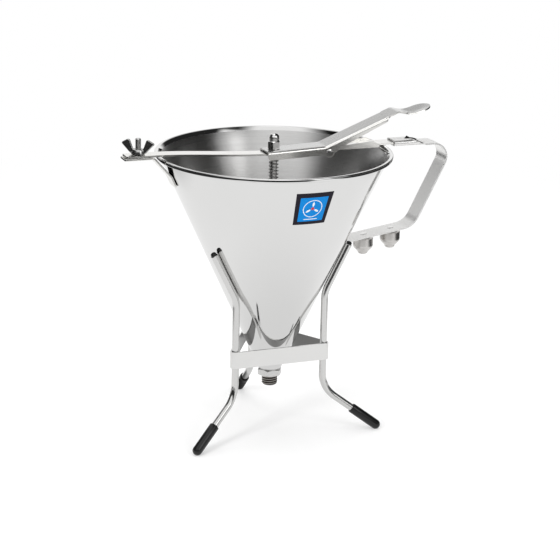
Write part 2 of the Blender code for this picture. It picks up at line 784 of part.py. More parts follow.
def make_clamp(axis):
    half = BRACKET_THICKNESS / 2.0
    foot_low = RIM_HEIGHT - BRACKET_FOOT_DROP
    foot_high = foot_low + BRACKET_FOOT_LENGTH * math.cos(CONE_LEAN)
    stand_off = wall_offset(CLEARANCE + half)
    left_end = BAR_LEFT_END - BRACKET_OVERHANG
    corners = [
        (-cone_radius(foot_low) - stand_off, foot_low),
        (-cone_radius(foot_high) - stand_off, foot_high),
        (-RIM_RADIUS - BRACKET_SHOULDER, FLANGE_LEVEL - half),
        (left_end, FLANGE_LEVEL - half),
    ]
    stations = rounded_path(corners, (BRACKET_BEND_RADIUS, BRACKET_BEND_RADIUS))
    shape = flat_strip(stations, BRACKET_WIDTH, BRACKET_THICKNESS)
    bracket = add_piece("clamp_bracket", shape, SATIN, axis)
    low = FLANGE_LEVEL - BRACKET_THICKNESS - CUT_OVERRUN
    high = FLANGE_LEVEL + CUT_OVERRUN
    hole = cylinder(STUD_RADIUS + CLEARANCE, low, high, ROD_STEPS, (STUD_OFFSET, 0.0))
    add_boolean(bracket, add_cutter("bracket_stud_hole", hole, axis), "DIFFERENCE")
    bottom = FLANGE_LEVEL - BRACKET_THICKNESS
    top = bar_top(STUD_OFFSET) + STUD_RISE
    end = STUD_RADIUS / 4.0
    profile = [
        (0.0, bottom),
        (STUD_RADIUS, bottom),
        (STUD_RADIUS, top - end),
        (STUD_RADIUS - end, top),
        (0.0, top),
    ]
    stud = turned(profile, ROD_STEPS, closed=False)
    add_piece("clamp_stud", stud, STEEL, axis, location=(STUD_OFFSET, 0.0, 0.0))


def wing_outline():
    """One wing, leaning outwards from the hub with a rounded end."""
    lean = math.atan2(WING_RISE - WING_BREADTH / 2.0, WING_REACH - WING_BREADTH / 2.0)
    radius = WING_BREADTH / 2.0
    tip = (WING_REACH - radius, WING_RISE - radius)
    outline = [(WING_ROOT_RADIUS, CLEARANCE), (WING_HUB_RADIUS, CLEARANCE)]
    for step in range(WING_END_STEPS + 1):
        angle = lean - math.pi / 2.0 + math.pi * step / WING_END_STEPS
        outline.append((tip[0] + radius * math.cos(angle), tip[1] + radius * math.sin(angle)))
    outline.append((WING_ROOT_RADIUS, WING_HUB_HEIGHT - CLEARANCE))
    return outline


def make_wing_nut(axis):
    bore = STUD_RADIUS + CLEARANCE
    seat = bar_top(STUD_OFFSET) + CLEARANCE
    hub = [
        (bore, 0.0),
        (WING_HUB_RADIUS, 0.0),
        (WING_HUB_TOP_RADIUS, WING_HUB_HEIGHT),
        (bore, WING_HUB_HEIGHT),
    ]
    location = (STUD_OFFSET, 0.0, seat)
    nut = add_piece("wing_nut", turned(hub, ROD_STEPS, closed=True), SATIN, axis, location)
    nut.rotation_euler = (0.0, 0.0, WING_TURN)
    half = WING_THICKNESS / 2.0
    for name, facing in (("wing_inner", 1.0), ("wing_outer", -1.0)):
        outline = [(facing * reach, rise) for reach, rise in wing_outline()]
        add_boolean(nut, add_cutter(name, prism(outline, -half, half), nut), "UNION")


# Handle: a strip whose upper end is rolled into a flat sleeve
SLEEVE_FLOOR = BAR_RIGHT_LEVEL + BAR_THICKNESS + CLEARANCE - SLEEVE_INNER_HEIGHT
HANDLE_UPPER_LEVEL = SLEEVE_FLOOR - HANDLE_THICKNESS / 2.0


def handle_corners():
    half = HANDLE_THICKNESS / 2.0
    stand_off = wall_offset(CLEARANCE + half)
    foot_top = RIM_HEIGHT - HANDLE_FOOT_DROP
    foot_bottom = foot_top - HANDLE_FOOT_LENGTH * math.cos(CONE_LEAN)
    wall = cone_radius(foot_top) + stand_off
    lower = RIM_REACH + HANDLE_REACH
    return [
        (cone_radius(foot_bottom) + stand_off, foot_bottom),
        (wall, foot_top),
        (lower, foot_top + (lower - wall) * math.tan(HANDLE_LOWER_SLOPE)),
        (SLEEVE_MOUTH + HANDLE_TOP_LENGTH, HANDLE_UPPER_LEVEL),
        (SLEEVE_MOUTH, HANDLE_UPPER_LEVEL),
    ]


def eased(share):
    """Share that starts and ends without a corner."""
    return (1.0 - math.cos(math.pi * share)) / 2.0


def curl_section(rolled, trimmed):
    """Half of the strip's mid-surface as (across, rise, direction) points.

    `rolled` turns the wing over the crossbar; `trimmed` cuts its roof away.
    """
    floor = SLEEVE_INNER_WIDTH / 2.0 - SLEEVE_INNER_HEIGHT / 2.0
    mean = (SLEEVE_INNER_HEIGHT + HANDLE_THICKNESS) / 2.0
    bend = math.pi * mean
    flat_wing = HANDLE_WIDTH / 2.0 - floor - CLEARANCE
    roof = (floor - SLEEVE_SEAM / 2.0) * (1.0 - trimmed)
    curved = flat_wing + (bend - flat_wing) * rolled ** 2
    points = [(0.0, 0.0, 0.0), (floor, 0.0, 0.0)]
    across, rise, angle = floor, 0.0, 0.0
    step = curved / (WING_COLUMNS - 1)
    turn = rolled * step / bend * math.pi
    for column in range(1, WING_COLUMNS):
        across += step * math.cos(angle + turn / 2.0)
        rise += step * math.sin(angle + turn / 2.0)
        angle += turn
        points.append((across, rise, angle))
    reach = roof + CLEARANCE
    points.append((across + reach * math.cos(angle), rise + reach * math.sin(angle), angle))
    return points


def make_handle(axis):
    corners = handle_corners()
    radii = (HANDLE_FOOT_BEND, HANDLE_LOWER_BEND, HANDLE_UPPER_BEND)
    stations = rounded_path(corners, radii)
    mouth = stations.pop()
    closed_at = SLEEVE_MOUTH + SLEEVE_LENGTH
    rolls = [(station, 0.0, 1.0) for station in stations]
    for step in range(SLEEVE_FLARE_STEPS + 1):
        share = step / SLEEVE_FLARE_STEPS
        offset = closed_at + SLEEVE_FLARE_LENGTH * (1.0 - share)
        rolled = eased(min(1.0, share / (1.0 - SLIT_SHARE)))
        trimmed = min(1.0, (1.0 - share) / SLIT_SHARE)
        rolls.append(((offset, mouth[1], mouth[2]), rolled, trimmed))
    rolls.append((mouth, 1.0, 0.0))
    half = HANDLE_THICKNESS / 2.0
    rows = []
    for station, rolled, trimmed in rolls:
        wing = curl_section(rolled, trimmed)
        section = [(-across, rise, -angle) for across, rise, angle in reversed(wing[1:])] + wing
        row = []
        for across, rise, angle in section:
            pair = []
            for side in (half, -half):
                lift = -rise - side * math.cos(angle)
                point = off_path(station, lift)
                pair.append((point[0], across + side * math.sin(angle), point[1]))
            row.append(tuple(pair))
        rows.append(row)
    shape = thick_sheet(rows)[0]
    split_warped(shape)
    add_piece("handle", shape, SATIN, axis)
    return corners


# Pivot bracket with its pin
def make_pivot(axis):
    right = PIVOT_OFFSET + CHEEK_LENGTH
    peak = right - CHEEK_PEAK_INSET
    saddle_left = PIVOT_OFFSET + SADDLE_START
    ear_top = bar_top(PIVOT_OFFSET)
    outline = []
    start = math.asin((ear_top - PIVOT_HEIGHT) / EAR_RADIUS) if ear_top - PIVOT_HEIGHT < EAR_RADIUS else math.pi / 2.0
    sweep = math.pi - start
    for step in range(13):
        angle = sweep + (1.75 * math.pi - sweep) * step / 12
        outline.append((
            PIVOT_OFFSET + EAR_RADIUS * math.cos(angle),
            PIVOT_HEIGHT + EAR_RADIUS * math.sin(angle),
        ))
    base = bar_underside(saddle_left) - CLEARANCE - CHEEK_THICKNESS
    outline.append((saddle_left, base))
    outline.append((right, bar_underside(right) - CLEARANCE - CHEEK_THICKNESS))
    outline.append((right, bar_underside(right) + BAR_THICKNESS / 2.0))
    outline.append((peak, bar_top(peak) + CHEEK_PEAK_RISE))
    outline.append((PIVOT_OFFSET + EAR_RADIUS, bar_top(PIVOT_OFFSET + EAR_RADIUS)))
    near = prism(outline, -CHEEK_OUTER, -CHEEK_INNER)
    far = prism(outline, CHEEK_INNER, CHEEK_OUTER)
    stations = []
    inset = CHEEK_THICKNESS / 4.0
    for step in range(SADDLE_STEPS + 1):
        offset = saddle_left + (right - inset - saddle_left) * step / SADDLE_STEPS
        middle = bar_underside(offset) - CLEARANCE - CHEEK_THICKNESS / 2.0 + inset / 2.0
        stations.append((offset, middle, 0.0))
    width = CHEEK_INNER + CHEEK_OUTER
    base_plate = flat_strip(stations, width, CHEEK_THICKNESS - inset)
    bracket = add_piece("pivot_bracket", base_plate, SATIN, axis)
    add_boolean(bracket, add_cutter("cheek_near", near, axis), "UNION")
    add_boolean(bracket, add_cutter("cheek_far", far, axis), "UNION")
    reach = LEVER_WIDTH + CUT_OVERRUN
    hole = cylinder(PIN_RADIUS + CLEARANCE, -reach / 2.0, reach / 2.0, ROD_STEPS)
    lay_across(hole, (PIVOT_OFFSET, PIVOT_HEIGHT))
    add_boolean(bracket, add_cutter("cheek_pin_hole", hole, axis), "DIFFERENCE")
    half = LEVER_WIDTH / 2.0 + CLEARANCE
    tip = half + PIN_HEAD_HEIGHT
    edge = PIN_HEAD_RADIUS - PIN_HEAD_HEIGHT / 2.0
    profile = [
        (0.0, -tip),
        (edge, -tip),
        (PIN_HEAD_RADIUS, -half),
        (PIN_RADIUS, -half),
        (PIN_RADIUS, half),
        (PIN_HEAD_RADIUS, half),
        (edge, tip),
        (0.0, tip),
    ]
    pin = turned(profile, ROD_STEPS, closed=False)
    bmesh.ops.rotate(pin, verts=pin.verts, cent=(0.0, 0.0, 0.0), matrix=Matrix.Rotation(math.pi / 2.0, 3, "X"))
    add_piece("pivot_pin", pin, STEEL, axis, location=(PIVOT_OFFSET, 0.0, PIVOT_HEIGHT))


def lay_across(shape, place):
    """Turns an upright bar to lie along Y and moves it to an (x, z) place."""
    bmesh.ops.rotate(
        shape,
        verts=shape.verts,
        cent=(0.0, 0.0, 0.0),
        matrix=Matrix.Rotation(math.pi / 2.0, 3, "X"),
    )
    bmesh.ops.translate(shape, verts=shape.verts, vec=(place[0], 0.0, place[1]))


# Lever
def lever_corners():
    half = LEVER_SHEET / 2.0
    bend_z = bar_top(LEVER_BEND_OFFSET) + LEVER_BAR_GAP + half
    left_z = bend_z - (LEVER_BEND_OFFSET - LEVER_LEFT_END) * math.tan(LEVER_SHORT_SLOPE)
    crest_z = bend_z + (LEVER_CREST_OFFSET - LEVER_BEND_OFFSET) * math.tan(LEVER_LONG_SLOPE)
    valley_x = LEVER_CREST_OFFSET + LEVER_NECK_LENGTH
    valley_z = crest_z + LEVER_NECK_LENGTH * math.tan(LEVER_NECK_SLOPE)
    end_z = valley_z + SPOON_LENGTH * math.tan(SPOON_SLOPE)
    return [
        (LEVER_LEFT_END, left_z),
        (LEVER_BEND_OFFSET, bend_z),
        (LEVER_CREST_OFFSET, crest_z),
        (valley_x, valley_z),
        (valley_x + SPOON_LENGTH, end_z),
    ]


def lever_half_width(offset, end):
    """Plan of the lever: parallel channel, narrower neck, rounded spoon."""
    neck_at = LEVER_CREST_OFFSET + LEVER_NECK_LENGTH / 2.0
    widest_at = end - SPOON_HALF_WIDTH
    if offset <= LEVER_CREST_OFFSET - FLANGE_END_INSET:
        return LEVER_WIDTH / 2.0
    if offset <= neck_at:
        share = (offset - LEVER_CREST_OFFSET + FLANGE_END_INSET) / (neck_at - LEVER_CREST_OFFSET + FLANGE_END_INSET)
        return LEVER_WIDTH / 2.0 + (NECK_HALF_WIDTH - LEVER_WIDTH / 2.0) * share
    if offset <= widest_at:
        share = (offset - neck_at) / (widest_at - neck_at)
        blend = (1.0 - math.cos(math.pi * share)) / 2.0
        return NECK_HALF_WIDTH + (SPOON_HALF_WIDTH - NECK_HALF_WIDTH) * blend
    share = min(1.0, (offset - widest_at) / SPOON_HALF_WIDTH)
    return max(SPOON_HALF_WIDTH * math.sqrt(1.0 - share * share), SPOON_HALF_WIDTH / 4.0)


def lever_dish(offset, end):
    """How far the middle of the spoon lies below its edges."""
    start = LEVER_CREST_OFFSET + LEVER_NECK_LENGTH / 2.0
    share = (offset - start) / (end - start) / DISH_REACH_SHARE
    if share <= 0.0 or share >= 1.0:
        return 0.0
    return SPOON_DISH * math.sin(math.pi * share)


def make_lever(axis):
    corners = lever_corners()
    end = corners[-1][0]
    radii = (LEVER_BEND_RADIUS, CREST_RADIUS, VALLEY_RADIUS)
    stations = divided(rounded_path(corners, radii), LEVER_WIDTH / 2.0)
    spoon = [station for station in stations if station[0] > end - SPOON_HALF_WIDTH]
    stations = [station for station in stations if station[0] <= end - SPOON_HALF_WIDTH]
    slope = spoon[-1][2]
    for step in range(SPOON_END_STEPS):
        angle = math.pi / 2.0 * SPOON_END_SHARE * (step + 1) / SPOON_END_STEPS
        offset = end - SPOON_HALF_WIDTH * (1.0 - math.sin(angle))
        drop = (end - offset) * math.tan(slope)
        stations.append((offset, corners[-1][1] - drop, slope))
    half = LEVER_SHEET / 2.0
    wall_share = LEVER_SHEET / (LEVER_WIDTH / 2.0)
    column_shares = (-1.0, wall_share - 1.0, *COLUMN_SHARES, 1.0 - wall_share, 1.0)
    rows = []
    for station in stations:
        width = lever_half_width(station[0], end)
        dish = lever_dish(station[0], end)
        row = []
        for share in column_shares:
            drop = dish * (1.0 - share * share)
            under = off_path(station, -half - drop)
            upper = off_path(station, half - drop)
            row.append(((under[0], share * width, under[1]), (upper[0], share * width, upper[1])))
        rows.append(row)
    shape, grid = thick_sheet(rows)
    add_flanges(shape, grid, stations)
    origin = (PIVOT_OFFSET, 0.0, PIVOT_HEIGHT)
    lever = add_piece("lever", shape, SATIN, axis, location=origin, made_at=origin)
    slot = slot_bar(
        -ROD_SLOT_LEFT,
        ROD_SLOT_RIGHT,
        ROD_SLOT_HALF_WIDTH,
        LEVER_TOP_AT_ROD - LEVER_SHEET - CUT_OVERRUN,
        LEVER_TOP_AT_ROD + CUT_OVERRUN,
        SLOT_STEPS,
    )
    add_boolean(lever, add_cutter("lever_rod_slot", slot, axis), "DIFFERENCE")
    reach = LEVER_WIDTH + CUT_OVERRUN
    hole = cylinder(PIN_RADIUS + CLEARANCE, -reach / 2.0, reach / 2.0, ROD_STEPS)
    lay_across(hole, (PIVOT_OFFSET, PIVOT_HEIGHT))
    add_boolean(lever, add_cutter("lever_pin_hole", hole, axis), "DIFFERENCE")


def add_flanges(shape, grid, stations):
    """Folds the channel's two walls down from the edges of the web."""
    row_layer = shape.verts.layers.int["row"]
    last_offset = LEVER_CREST_OFFSET - FLANGE_END_INSET
    flanged = [number for number, station in enumerate(stations) if station[0] <= last_offset]
    last = flanged[-1]
    faces = []
    for column in (0, len(grid[0]) - 2):
        for row in range(last):
            corners = {
                grid[row][column][0],
                grid[row][column + 1][0],
                grid[row + 1][column][0],
                grid[row + 1][column + 1][0],
            }
            faces += [face for face in grid[row][column][0].link_faces if set(face.verts) == corners]
    grown = bmesh.ops.extrude_face_region(shape, geom=faces, use_keep_orig=True)
    bmesh.ops.delete(shape, geom=faces, context="FACES")
    for part in grown["geom"]:
        if not isinstance(part, bmesh.types.BMVert):
            continue
        station = stations[part[row_layer]]
        share = max(0.0, (station[0] - LEVER_BEND_OFFSET) / (last_offset - LEVER_BEND_OFFSET))
        depth = FLANGE_DEPTH + (FLANGE_TIP_DEPTH - FLANGE_DEPTH) * share
        part.co.x += depth * math.sin(station[2])
        part.co.z -= depth * math.cos(station[2])


# Stand
def leg_path(spread, swing):
    """Corners of one leg's centre line, and the middle of its rounded foot.

    The upper run lies along the cone's wall, turned by `spread` round the cone.
    The foot is turned by `swing` round the leg's own upright run.
    """
    top_circle = LEG_CIRCLE + LEG_TOP_LENGTH * math.sin(CONE_LEAN)
    across = (LEG_CIRCLE + top_circle * math.cos(spread), top_circle * math.sin(spread))
    chord_dip = (LEG_CIRCLE + top_circle - math.hypot(*across)) / 2.0
    lean_gap = wall_offset(WIRE_RADIUS + CLEARANCE) + chord_dip
    bend_height = OUTLET_HEIGHT + (LEG_CIRCLE - lean_gap - OUTLET_RADIUS) / math.tan(CONE_LEAN)
    top = (top_circle, bend_height + LEG_TOP_LENGTH * math.cos(CONE_LEAN))
    tip_centre = (FOOT_CIRCLE, BOOT_RADIUS - FOOT_FLAT_DEPTH)
    knee = tip_centre[1] + (FOOT_CIRCLE - LEG_CIRCLE) * math.tan(FOOT_SLOPE)
    back = BOOT_TIP_WALL + CLEARANCE - BOOT_RADIUS
    wire_end = (
        tip_centre[0] - back * math.cos(FOOT_SLOPE),
        tip_centre[1] + back * math.sin(FOOT_SLOPE),
    )
    stride = wire_end[0] - LEG_CIRCLE
    corners = [
        Vector((LEG_CIRCLE + stride * math.cos(swing), stride * math.sin(swing), wire_end[1])),
        Vector((LEG_CIRCLE, 0.0, knee)),
        Vector((LEG_CIRCLE, 0.0, bend_height)),
        Vector((top[0] * math.cos(spread), top[0] * math.sin(spread), top[1])),
    ]
    return corners, tip_centre


def make_leg(side, azimuth, axis):
    corners, tip_centre = leg_path(LEG_SPREADS[side], FOOT_SWINGS[side])
    frame = add_empty("leg_frame_" + side, (0.0, 0.0, 0.0), axis)
    frame.rotation_euler = (0.0, 0.0, azimuth)
    shape = bent_wire(corners, (LEG_BEND_RADIUS, LEG_BEND_RADIUS), WIRE_RADIUS, WIRE_STEPS)
    leg = add_piece("stand_leg_" + side, shape, SATIN, frame)
    bore = cylinder(
        LEG_PLUG_STEM_RADIUS + CLEARANCE,
        -LEG_PLUG_STEM_LENGTH - CLEARANCE,
        CUT_OVERRUN,
        BOOT_STEPS,
    )
    run = corners[-1] - corners[-2]
    seat = Matrix.Translation(corners[-1]) @ run.to_track_quat("Z", "Y").to_matrix().to_4x4()
    bmesh.ops.transform(bore, matrix=seat, verts=bore.verts)
    add_boolean(leg, add_cutter("leg_bore_" + side, bore, frame), "DIFFERENCE")
    make_leg_plug(side, frame, seat)
    foot = add_empty("foot_frame_" + side, (LEG_CIRCLE, 0.0, 0.0), frame)
    foot.rotation_euler = (0.0, 0.0, FOOT_SWINGS[side])
    make_boot(side, foot, (tip_centre[0] - LEG_CIRCLE, tip_centre[1]))


def make_leg_plug(side, frame, seat):
    """Push-in plug with a domed head that closes the wire's upper end."""
    head = LEG_PLUG_HEIGHT
    lip = head / 3.0
    profile = [
        (0.0, -LEG_PLUG_STEM_LENGTH),
        (LEG_PLUG_STEM_RADIUS, -LEG_PLUG_STEM_LENGTH),
        (LEG_PLUG_STEM_RADIUS, CLEARANCE),
        (LEG_PLUG_RADIUS, CLEARANCE),
        (LEG_PLUG_RADIUS, lip),
    ]
    for step in range(1, LEG_PLUG_STEPS):
        angle = math.pi / 2.0 * step / LEG_PLUG_STEPS
        profile.append((LEG_PLUG_RADIUS * math.cos(angle), lip + (head - lip) * math.sin(angle)))
    profile.append((0.0, head))
    plug = add_piece("leg_plug_" + side, turned(profile, BOOT_STEPS, closed=False), BLACK_VINYL, frame)
    plug.matrix_local = seat


def make_boot(side, frame, tip_centre):
    """Vinyl boot over the foot, with a small flat where it stands."""
    bore = WIRE_RADIUS + CLEARANCE
    mouth = BOOT_LENGTH - BOOT_RADIUS
    end = BOOT_TIP_WALL - BOOT_RADIUS
    profile = [(bore, mouth), (BOOT_RADIUS - EDGE_BREAK, mouth), (BOOT_RADIUS, mouth - EDGE_BREAK)]
    profile += arc_profile((0.0, 0.0), BOOT_RADIUS, 0.0, -math.pi / 2.0, 6)[:-1]
    profile.append((0.0, -BOOT_RADIUS))
    profile.append((0.0, end))
    profile.append((bore, end))
    profile.append((bore, mouth))
    shape = turned(profile, BOOT_STEPS, closed=False)
    tilt = Matrix.Rotation(math.pi * 1.5 + FOOT_SLOPE, 4, "Y")
    place = Matrix.Translation((tip_centre[0], 0.0, tip_centre[1])) @ tilt
    bmesh.ops.transform(shape, matrix=place, verts=shape.verts)
    everything = shape.verts[:] + shape.edges[:] + shape.faces[:]
    cut = bmesh.ops.bisect_plane(
        shape,
        geom=everything,
        dist=MERGE_DISTANCE,
        plane_co=(0.0, 0.0, 0.0),
        plane_no=(0.0, 0.0, -1.0),
        clear_outer=True,
    )
    rim = [part for part in cut["geom_cut"] if isinstance(part, bmesh.types.BMEdge)]
    bmesh.ops.edgeloop_fill(shape, edges=rim)
    origin = (tip_centre[0], 0.0, tip_centre[1])
    add_piece("leg_boot_" + side, shape, BLACK_VINYL, frame, location=origin, made_at=origin)


def band_loop(corner_radius):
    """Plan of the band: a triangle with a round corner about each leg."""
    loop = []
    for azimuth in sorted(LEG_AZIMUTHS.values()):
        centre = (LEG_CIRCLE * math.cos(azimuth), LEG_CIRCLE * math.sin(azimuth))
        for step in range(BAND_CORNER_STEPS + 1):
            angle = azimuth + math.radians(120.0) * (step / BAND_CORNER_STEPS - 1.0 / 2.0)
            loop.append((
                centre[0] + corner_radius * math.cos(angle),
                centre[1] + corner_radius * math.sin(angle),
            ))
    return loop


def make_band(axis):
    inner = band_loop(WIRE_RADIUS + CLEARANCE)
    outer = band_loop(WIRE_RADIUS + CLEARANCE + BAND_THICKNESS)
    low = BAND_MIDDLE - BAND_HEIGHT / 2.0
    high = BAND_MIDDLE + BAND_HEIGHT / 2.0
    shape = bmesh.new()
    rings = [
        [shape.verts.new((x, y, height)) for x, y in loop]
        for loop, height in ((inner, low), (outer, low), (outer, high), (inner, high))
    ]
    count = len(inner)
    for ring, following in zip(rings, rings[1:] + rings[:1]):
        for step in range(count):
            after = (step + 1) % count
            shape.faces.new((ring[step], ring[after], following[after], following[step]))
    band = add_piece("stand_band", shape, SATIN, axis)
    break_edges(band)


# Posts under the handle and the spare nozzles that screw on them
def handle_underside(offset):
    """Height of the lower run's underside at a distance from the axis."""
    corners = handle_corners()
    middle = corners[1][1] + (offset - corners[1][0]) * math.tan(HANDLE_LOWER_SLOPE)
    return middle - HANDLE_THICKNESS / 2.0 / math.cos(HANDLE_LOWER_SLOPE)


def make_nozzle(name, offset, axis):
    lowest = handle_underside(offset - NOZZLE_RADIUS) - CLEARANCE
    post_top = handle_underside(offset - POST_RADIUS) - CLEARANCE
    place = (offset, 0.0, 0.0)
    post = cylinder(POST_RADIUS, lowest - POST_LENGTH, post_top, BOOT_STEPS)
    add_piece("nozzle_post_" + name, post, STEEL, axis, location=place)
    hole = NOZZLE_HOLE_RADII[name]
    body_end = lowest - NOZZLE_BODY_LENGTH
    taper_end = body_end - NOZZLE_TAPER_LENGTH
    tip = taper_end - NOZZLE_TIP_LENGTH
    thread = POST_RADIUS + CLEARANCE
    roof = lowest - NOZZLE_THREAD_DEPTH
    profile = [(thread, lowest), (NOZZLE_RADIUS, lowest), (NOZZLE_RADIUS, body_end)]
    for step in range(NOZZLE_TIP_STEPS + 1):
        angle = math.pi / 2.0 * step / (NOZZLE_TIP_STEPS + 1)
        reach = hole + (NOZZLE_TIP_RADIUS - hole) * math.cos(angle)
        profile.append((reach, taper_end - NOZZLE_TIP_LENGTH * math.sin(angle)))
    profile += [
        (hole, tip),
        (hole, roof - thread + hole),
        (thread, roof),
    ]
    nozzle = turned(profile, ROD_STEPS + 4, closed=True)
    add_piece("spare_nozzle_" + name, nozzle, POLISHED, axis, location=place)


def centre_offset():
    """Moves the cone's axis so that the origin lies under the object's middle."""
    corners = handle_corners()
    turn = math.pi - heading(corners[2], corners[3])
    bend_middle = corners[3][0] - HANDLE_UPPER_BEND * math.tan(turn / 2.0)
    right = bend_middle + HANDLE_UPPER_BEND + HANDLE_THICKNESS / 2.0
    wing_edge = WING_THICKNESS / 2.0 * abs(math.sin(WING_TURN))
    wing = STUD_OFFSET - WING_REACH * math.cos(WING_TURN) - wing_edge
    return -(right + min(BAR_LEFT_END - BRACKET_OVERHANG, wing)) / 2.0


def main():
    clear_scene()
    axis = add_empty("funnel_axis", (centre_offset(), 0.0, 0.0))
    make_cone(axis)
    make_spigot(axis)
    make_rod(axis)
    make_plug(axis)
    make_cap_nut(axis)
    make_spring_stop(axis)
    make_spring(axis)
    make_crossbar(axis)
    make_clamp(axis)
    make_wing_nut(axis)
    make_handle(axis)
    make_pivot(axis)
    make_lever(axis)
    for side, azimuth in LEG_AZIMUTHS.items():
        make_leg(side, azimuth, axis)
    make_band(axis)
    for name, inset in NOZZLE_INSETS.items():
        make_nozzle(name, RIM_REACH + HANDLE_REACH - inset, axis)
    bpy.context.view_layer.update()


main()
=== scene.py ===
from math import atan2, ceil, copysign, cos, degrees, hypot, pi, radians, sin, sqrt, tan, tau

import bmesh
import bpy
from mathutils import Matrix, Vector


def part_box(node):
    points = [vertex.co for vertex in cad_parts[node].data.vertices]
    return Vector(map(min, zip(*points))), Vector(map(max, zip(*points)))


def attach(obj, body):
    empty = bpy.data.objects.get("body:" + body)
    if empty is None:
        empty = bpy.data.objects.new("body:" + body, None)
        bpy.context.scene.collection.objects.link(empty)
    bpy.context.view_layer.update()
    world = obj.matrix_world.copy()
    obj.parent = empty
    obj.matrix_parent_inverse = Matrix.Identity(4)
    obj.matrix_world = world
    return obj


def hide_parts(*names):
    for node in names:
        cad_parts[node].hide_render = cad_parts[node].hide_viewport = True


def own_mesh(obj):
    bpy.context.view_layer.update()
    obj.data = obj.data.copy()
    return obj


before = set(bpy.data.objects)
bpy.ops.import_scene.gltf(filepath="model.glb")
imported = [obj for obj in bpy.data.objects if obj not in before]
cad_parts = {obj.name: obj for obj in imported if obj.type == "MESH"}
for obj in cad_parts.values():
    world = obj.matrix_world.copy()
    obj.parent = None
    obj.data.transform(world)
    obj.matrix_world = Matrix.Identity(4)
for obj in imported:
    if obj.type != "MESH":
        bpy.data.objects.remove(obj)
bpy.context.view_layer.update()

MM = 0.001
TINY = 1e-6
NOWHERE = (0.0, 0.0, 0.0)
UPRIGHT = (0.0, 0.0, 1.0)
ON_ITS_SIDE = (pi / 2.0, 0.0, 0.0)
ACROSS = Vector((0.0, 1.0, 0.0))


def middle(node):
    low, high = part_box(node)
    return (Vector(low) + Vector(high)) / 2.0


AXIS = middle("funnel_cone").x
ON_AXIS = (AXIS, 0.0, 0.0)


def at(offset, height):
    """A point in the plane of handle and crossbar, by its offset from the cone's axis."""
    return Vector((AXIS + offset, 0.0, height))


# Bench tools: every piece starts from a primitive and is shaped in edit mode
def free_hands():
    if bpy.context.object and bpy.context.object.mode != "OBJECT":
        bpy.ops.object.mode_set(mode="OBJECT")
    bpy.ops.object.select_all(action="DESELECT")


def take(piece):
    """Takes up one piece and lets go of all others."""
    free_hands()
    piece.select_set(True)
    bpy.context.view_layer.objects.active = piece


def fix_place():
    """Moves the place and turn of the piece in hand into its mesh."""
    bpy.ops.object.transform_apply(location=True, rotation=True, scale=True)


def fresh(name):
    """Names the primitive that was just added."""
    piece = bpy.context.object
    piece.name = name
    fix_place()
    return piece


def put_at(piece, place, turn=NOWHERE):
    take(piece)
    piece.location = place
    piece.rotation_euler = turn
    fix_place()


def open_piece(piece):
    take(piece)
    bpy.ops.object.mode_set(mode="EDIT")
    bpy.ops.mesh.select_all(action="SELECT")


def draw_line(name, points):
    """A line of corners: a first corner, drawn on through each point."""
    free_hands()
    bpy.ops.mesh.primitive_plane_add(size=MM, location=points[0])
    piece = fresh(name)
    open_piece(piece)
    bpy.ops.mesh.merge(type="CENTER")
    for start, end in zip(points, points[1:]):
        step = Vector(end) - Vector(start)
        bpy.ops.mesh.extrude_vertices_move(TRANSFORM_OT_translate={"value": step})
    bpy.ops.mesh.select_all(action="SELECT")
    return piece


def shove(step):
    bpy.ops.mesh.extrude_region_move(TRANSFORM_OT_translate={"value": step})


def join_corners():
    bpy.ops.mesh.select_all(action="SELECT")
    bpy.ops.mesh.remove_doubles(threshold=TINY)


def tidy_mesh():
    """Joins doubled corners and turns all faces outwards."""
    join_corners()
    bpy.ops.mesh.normals_make_consistent(inside=False)


def close_holes():
    bpy.ops.mesh.select_mode(type="EDGE")
    bpy.ops.mesh.select_all(action="DESELECT")
    bpy.ops.mesh.select_non_manifold()
    bpy.ops.mesh.fill_holes(sides=0)
    bpy.ops.mesh.select_mode(type="VERT")
    tidy_mesh()


def cut_level(level, **waste):
    """Saws the open piece off at a height and closes the cut."""
    bpy.ops.mesh.select_all(action="SELECT")
    bpy.ops.mesh.bisect(
        plane_co=(0.0, 0.0, level), plane_no=UPRIGHT, threshold=TINY, use_fill=True, **waste,
    )


def pick(piece, test):
    """Selects the corners of an open piece whose place passes a test."""
    bpy.ops.mesh.select_mode(type="VERT")
    bpy.ops.mesh.select_all(action="DESELECT")
    mesh = bmesh.from_edit_mesh(piece.data)
    for corner in mesh.verts:
        corner.select = test(corner.co)
    mesh.select_flush(True)
    bmesh.update_edit_mesh(piece.data)


def apply_modifier(piece, kind, **settings):
    take(piece)
    modifier = piece.modifiers.new(kind.lower(), kind)
    for key, value in settings.items():
        setattr(modifier, key, value)
    bpy.ops.object.modifier_apply(modifier=modifier.name)


def round_edges(piece, width, segments=3, angle=40.0):
    apply_modifier(
        piece, "BEVEL", width=width, segments=segments, limit_method="ANGLE",
        angle_limit=radians(angle),
    )


def thicken(piece, thickness, side=0.0):
    apply_modifier(piece, "SOLIDIFY", thickness=thickness, offset=side, use_even_offset=True)


def wind(piece, pitch, turns, steps):
    """Winds a section round the Z axis."""
    apply_modifier(
        piece, "SCREW", angle=tau, screw_offset=pitch, iterations=turns, steps=steps,
        render_steps=steps, use_merge_vertices=False,
    )


def combine(piece, *tools, operation="DIFFERENCE", solver="EXACT"):
    """Joins or cuts a piece with others, which are used up."""
    for tool in tools:
        apply_modifier(piece, "BOOLEAN", operation=operation, object=tool, solver=solver)
        bpy.data.objects.remove(tool, do_unlink=True)


def shut(piece, angle=35.0):
    """Back to object mode with smooth faces and crisp corners above an angle."""
    take(piece)
    fix_place()
    bpy.ops.object.shade_smooth_by_angle(angle=radians(angle))


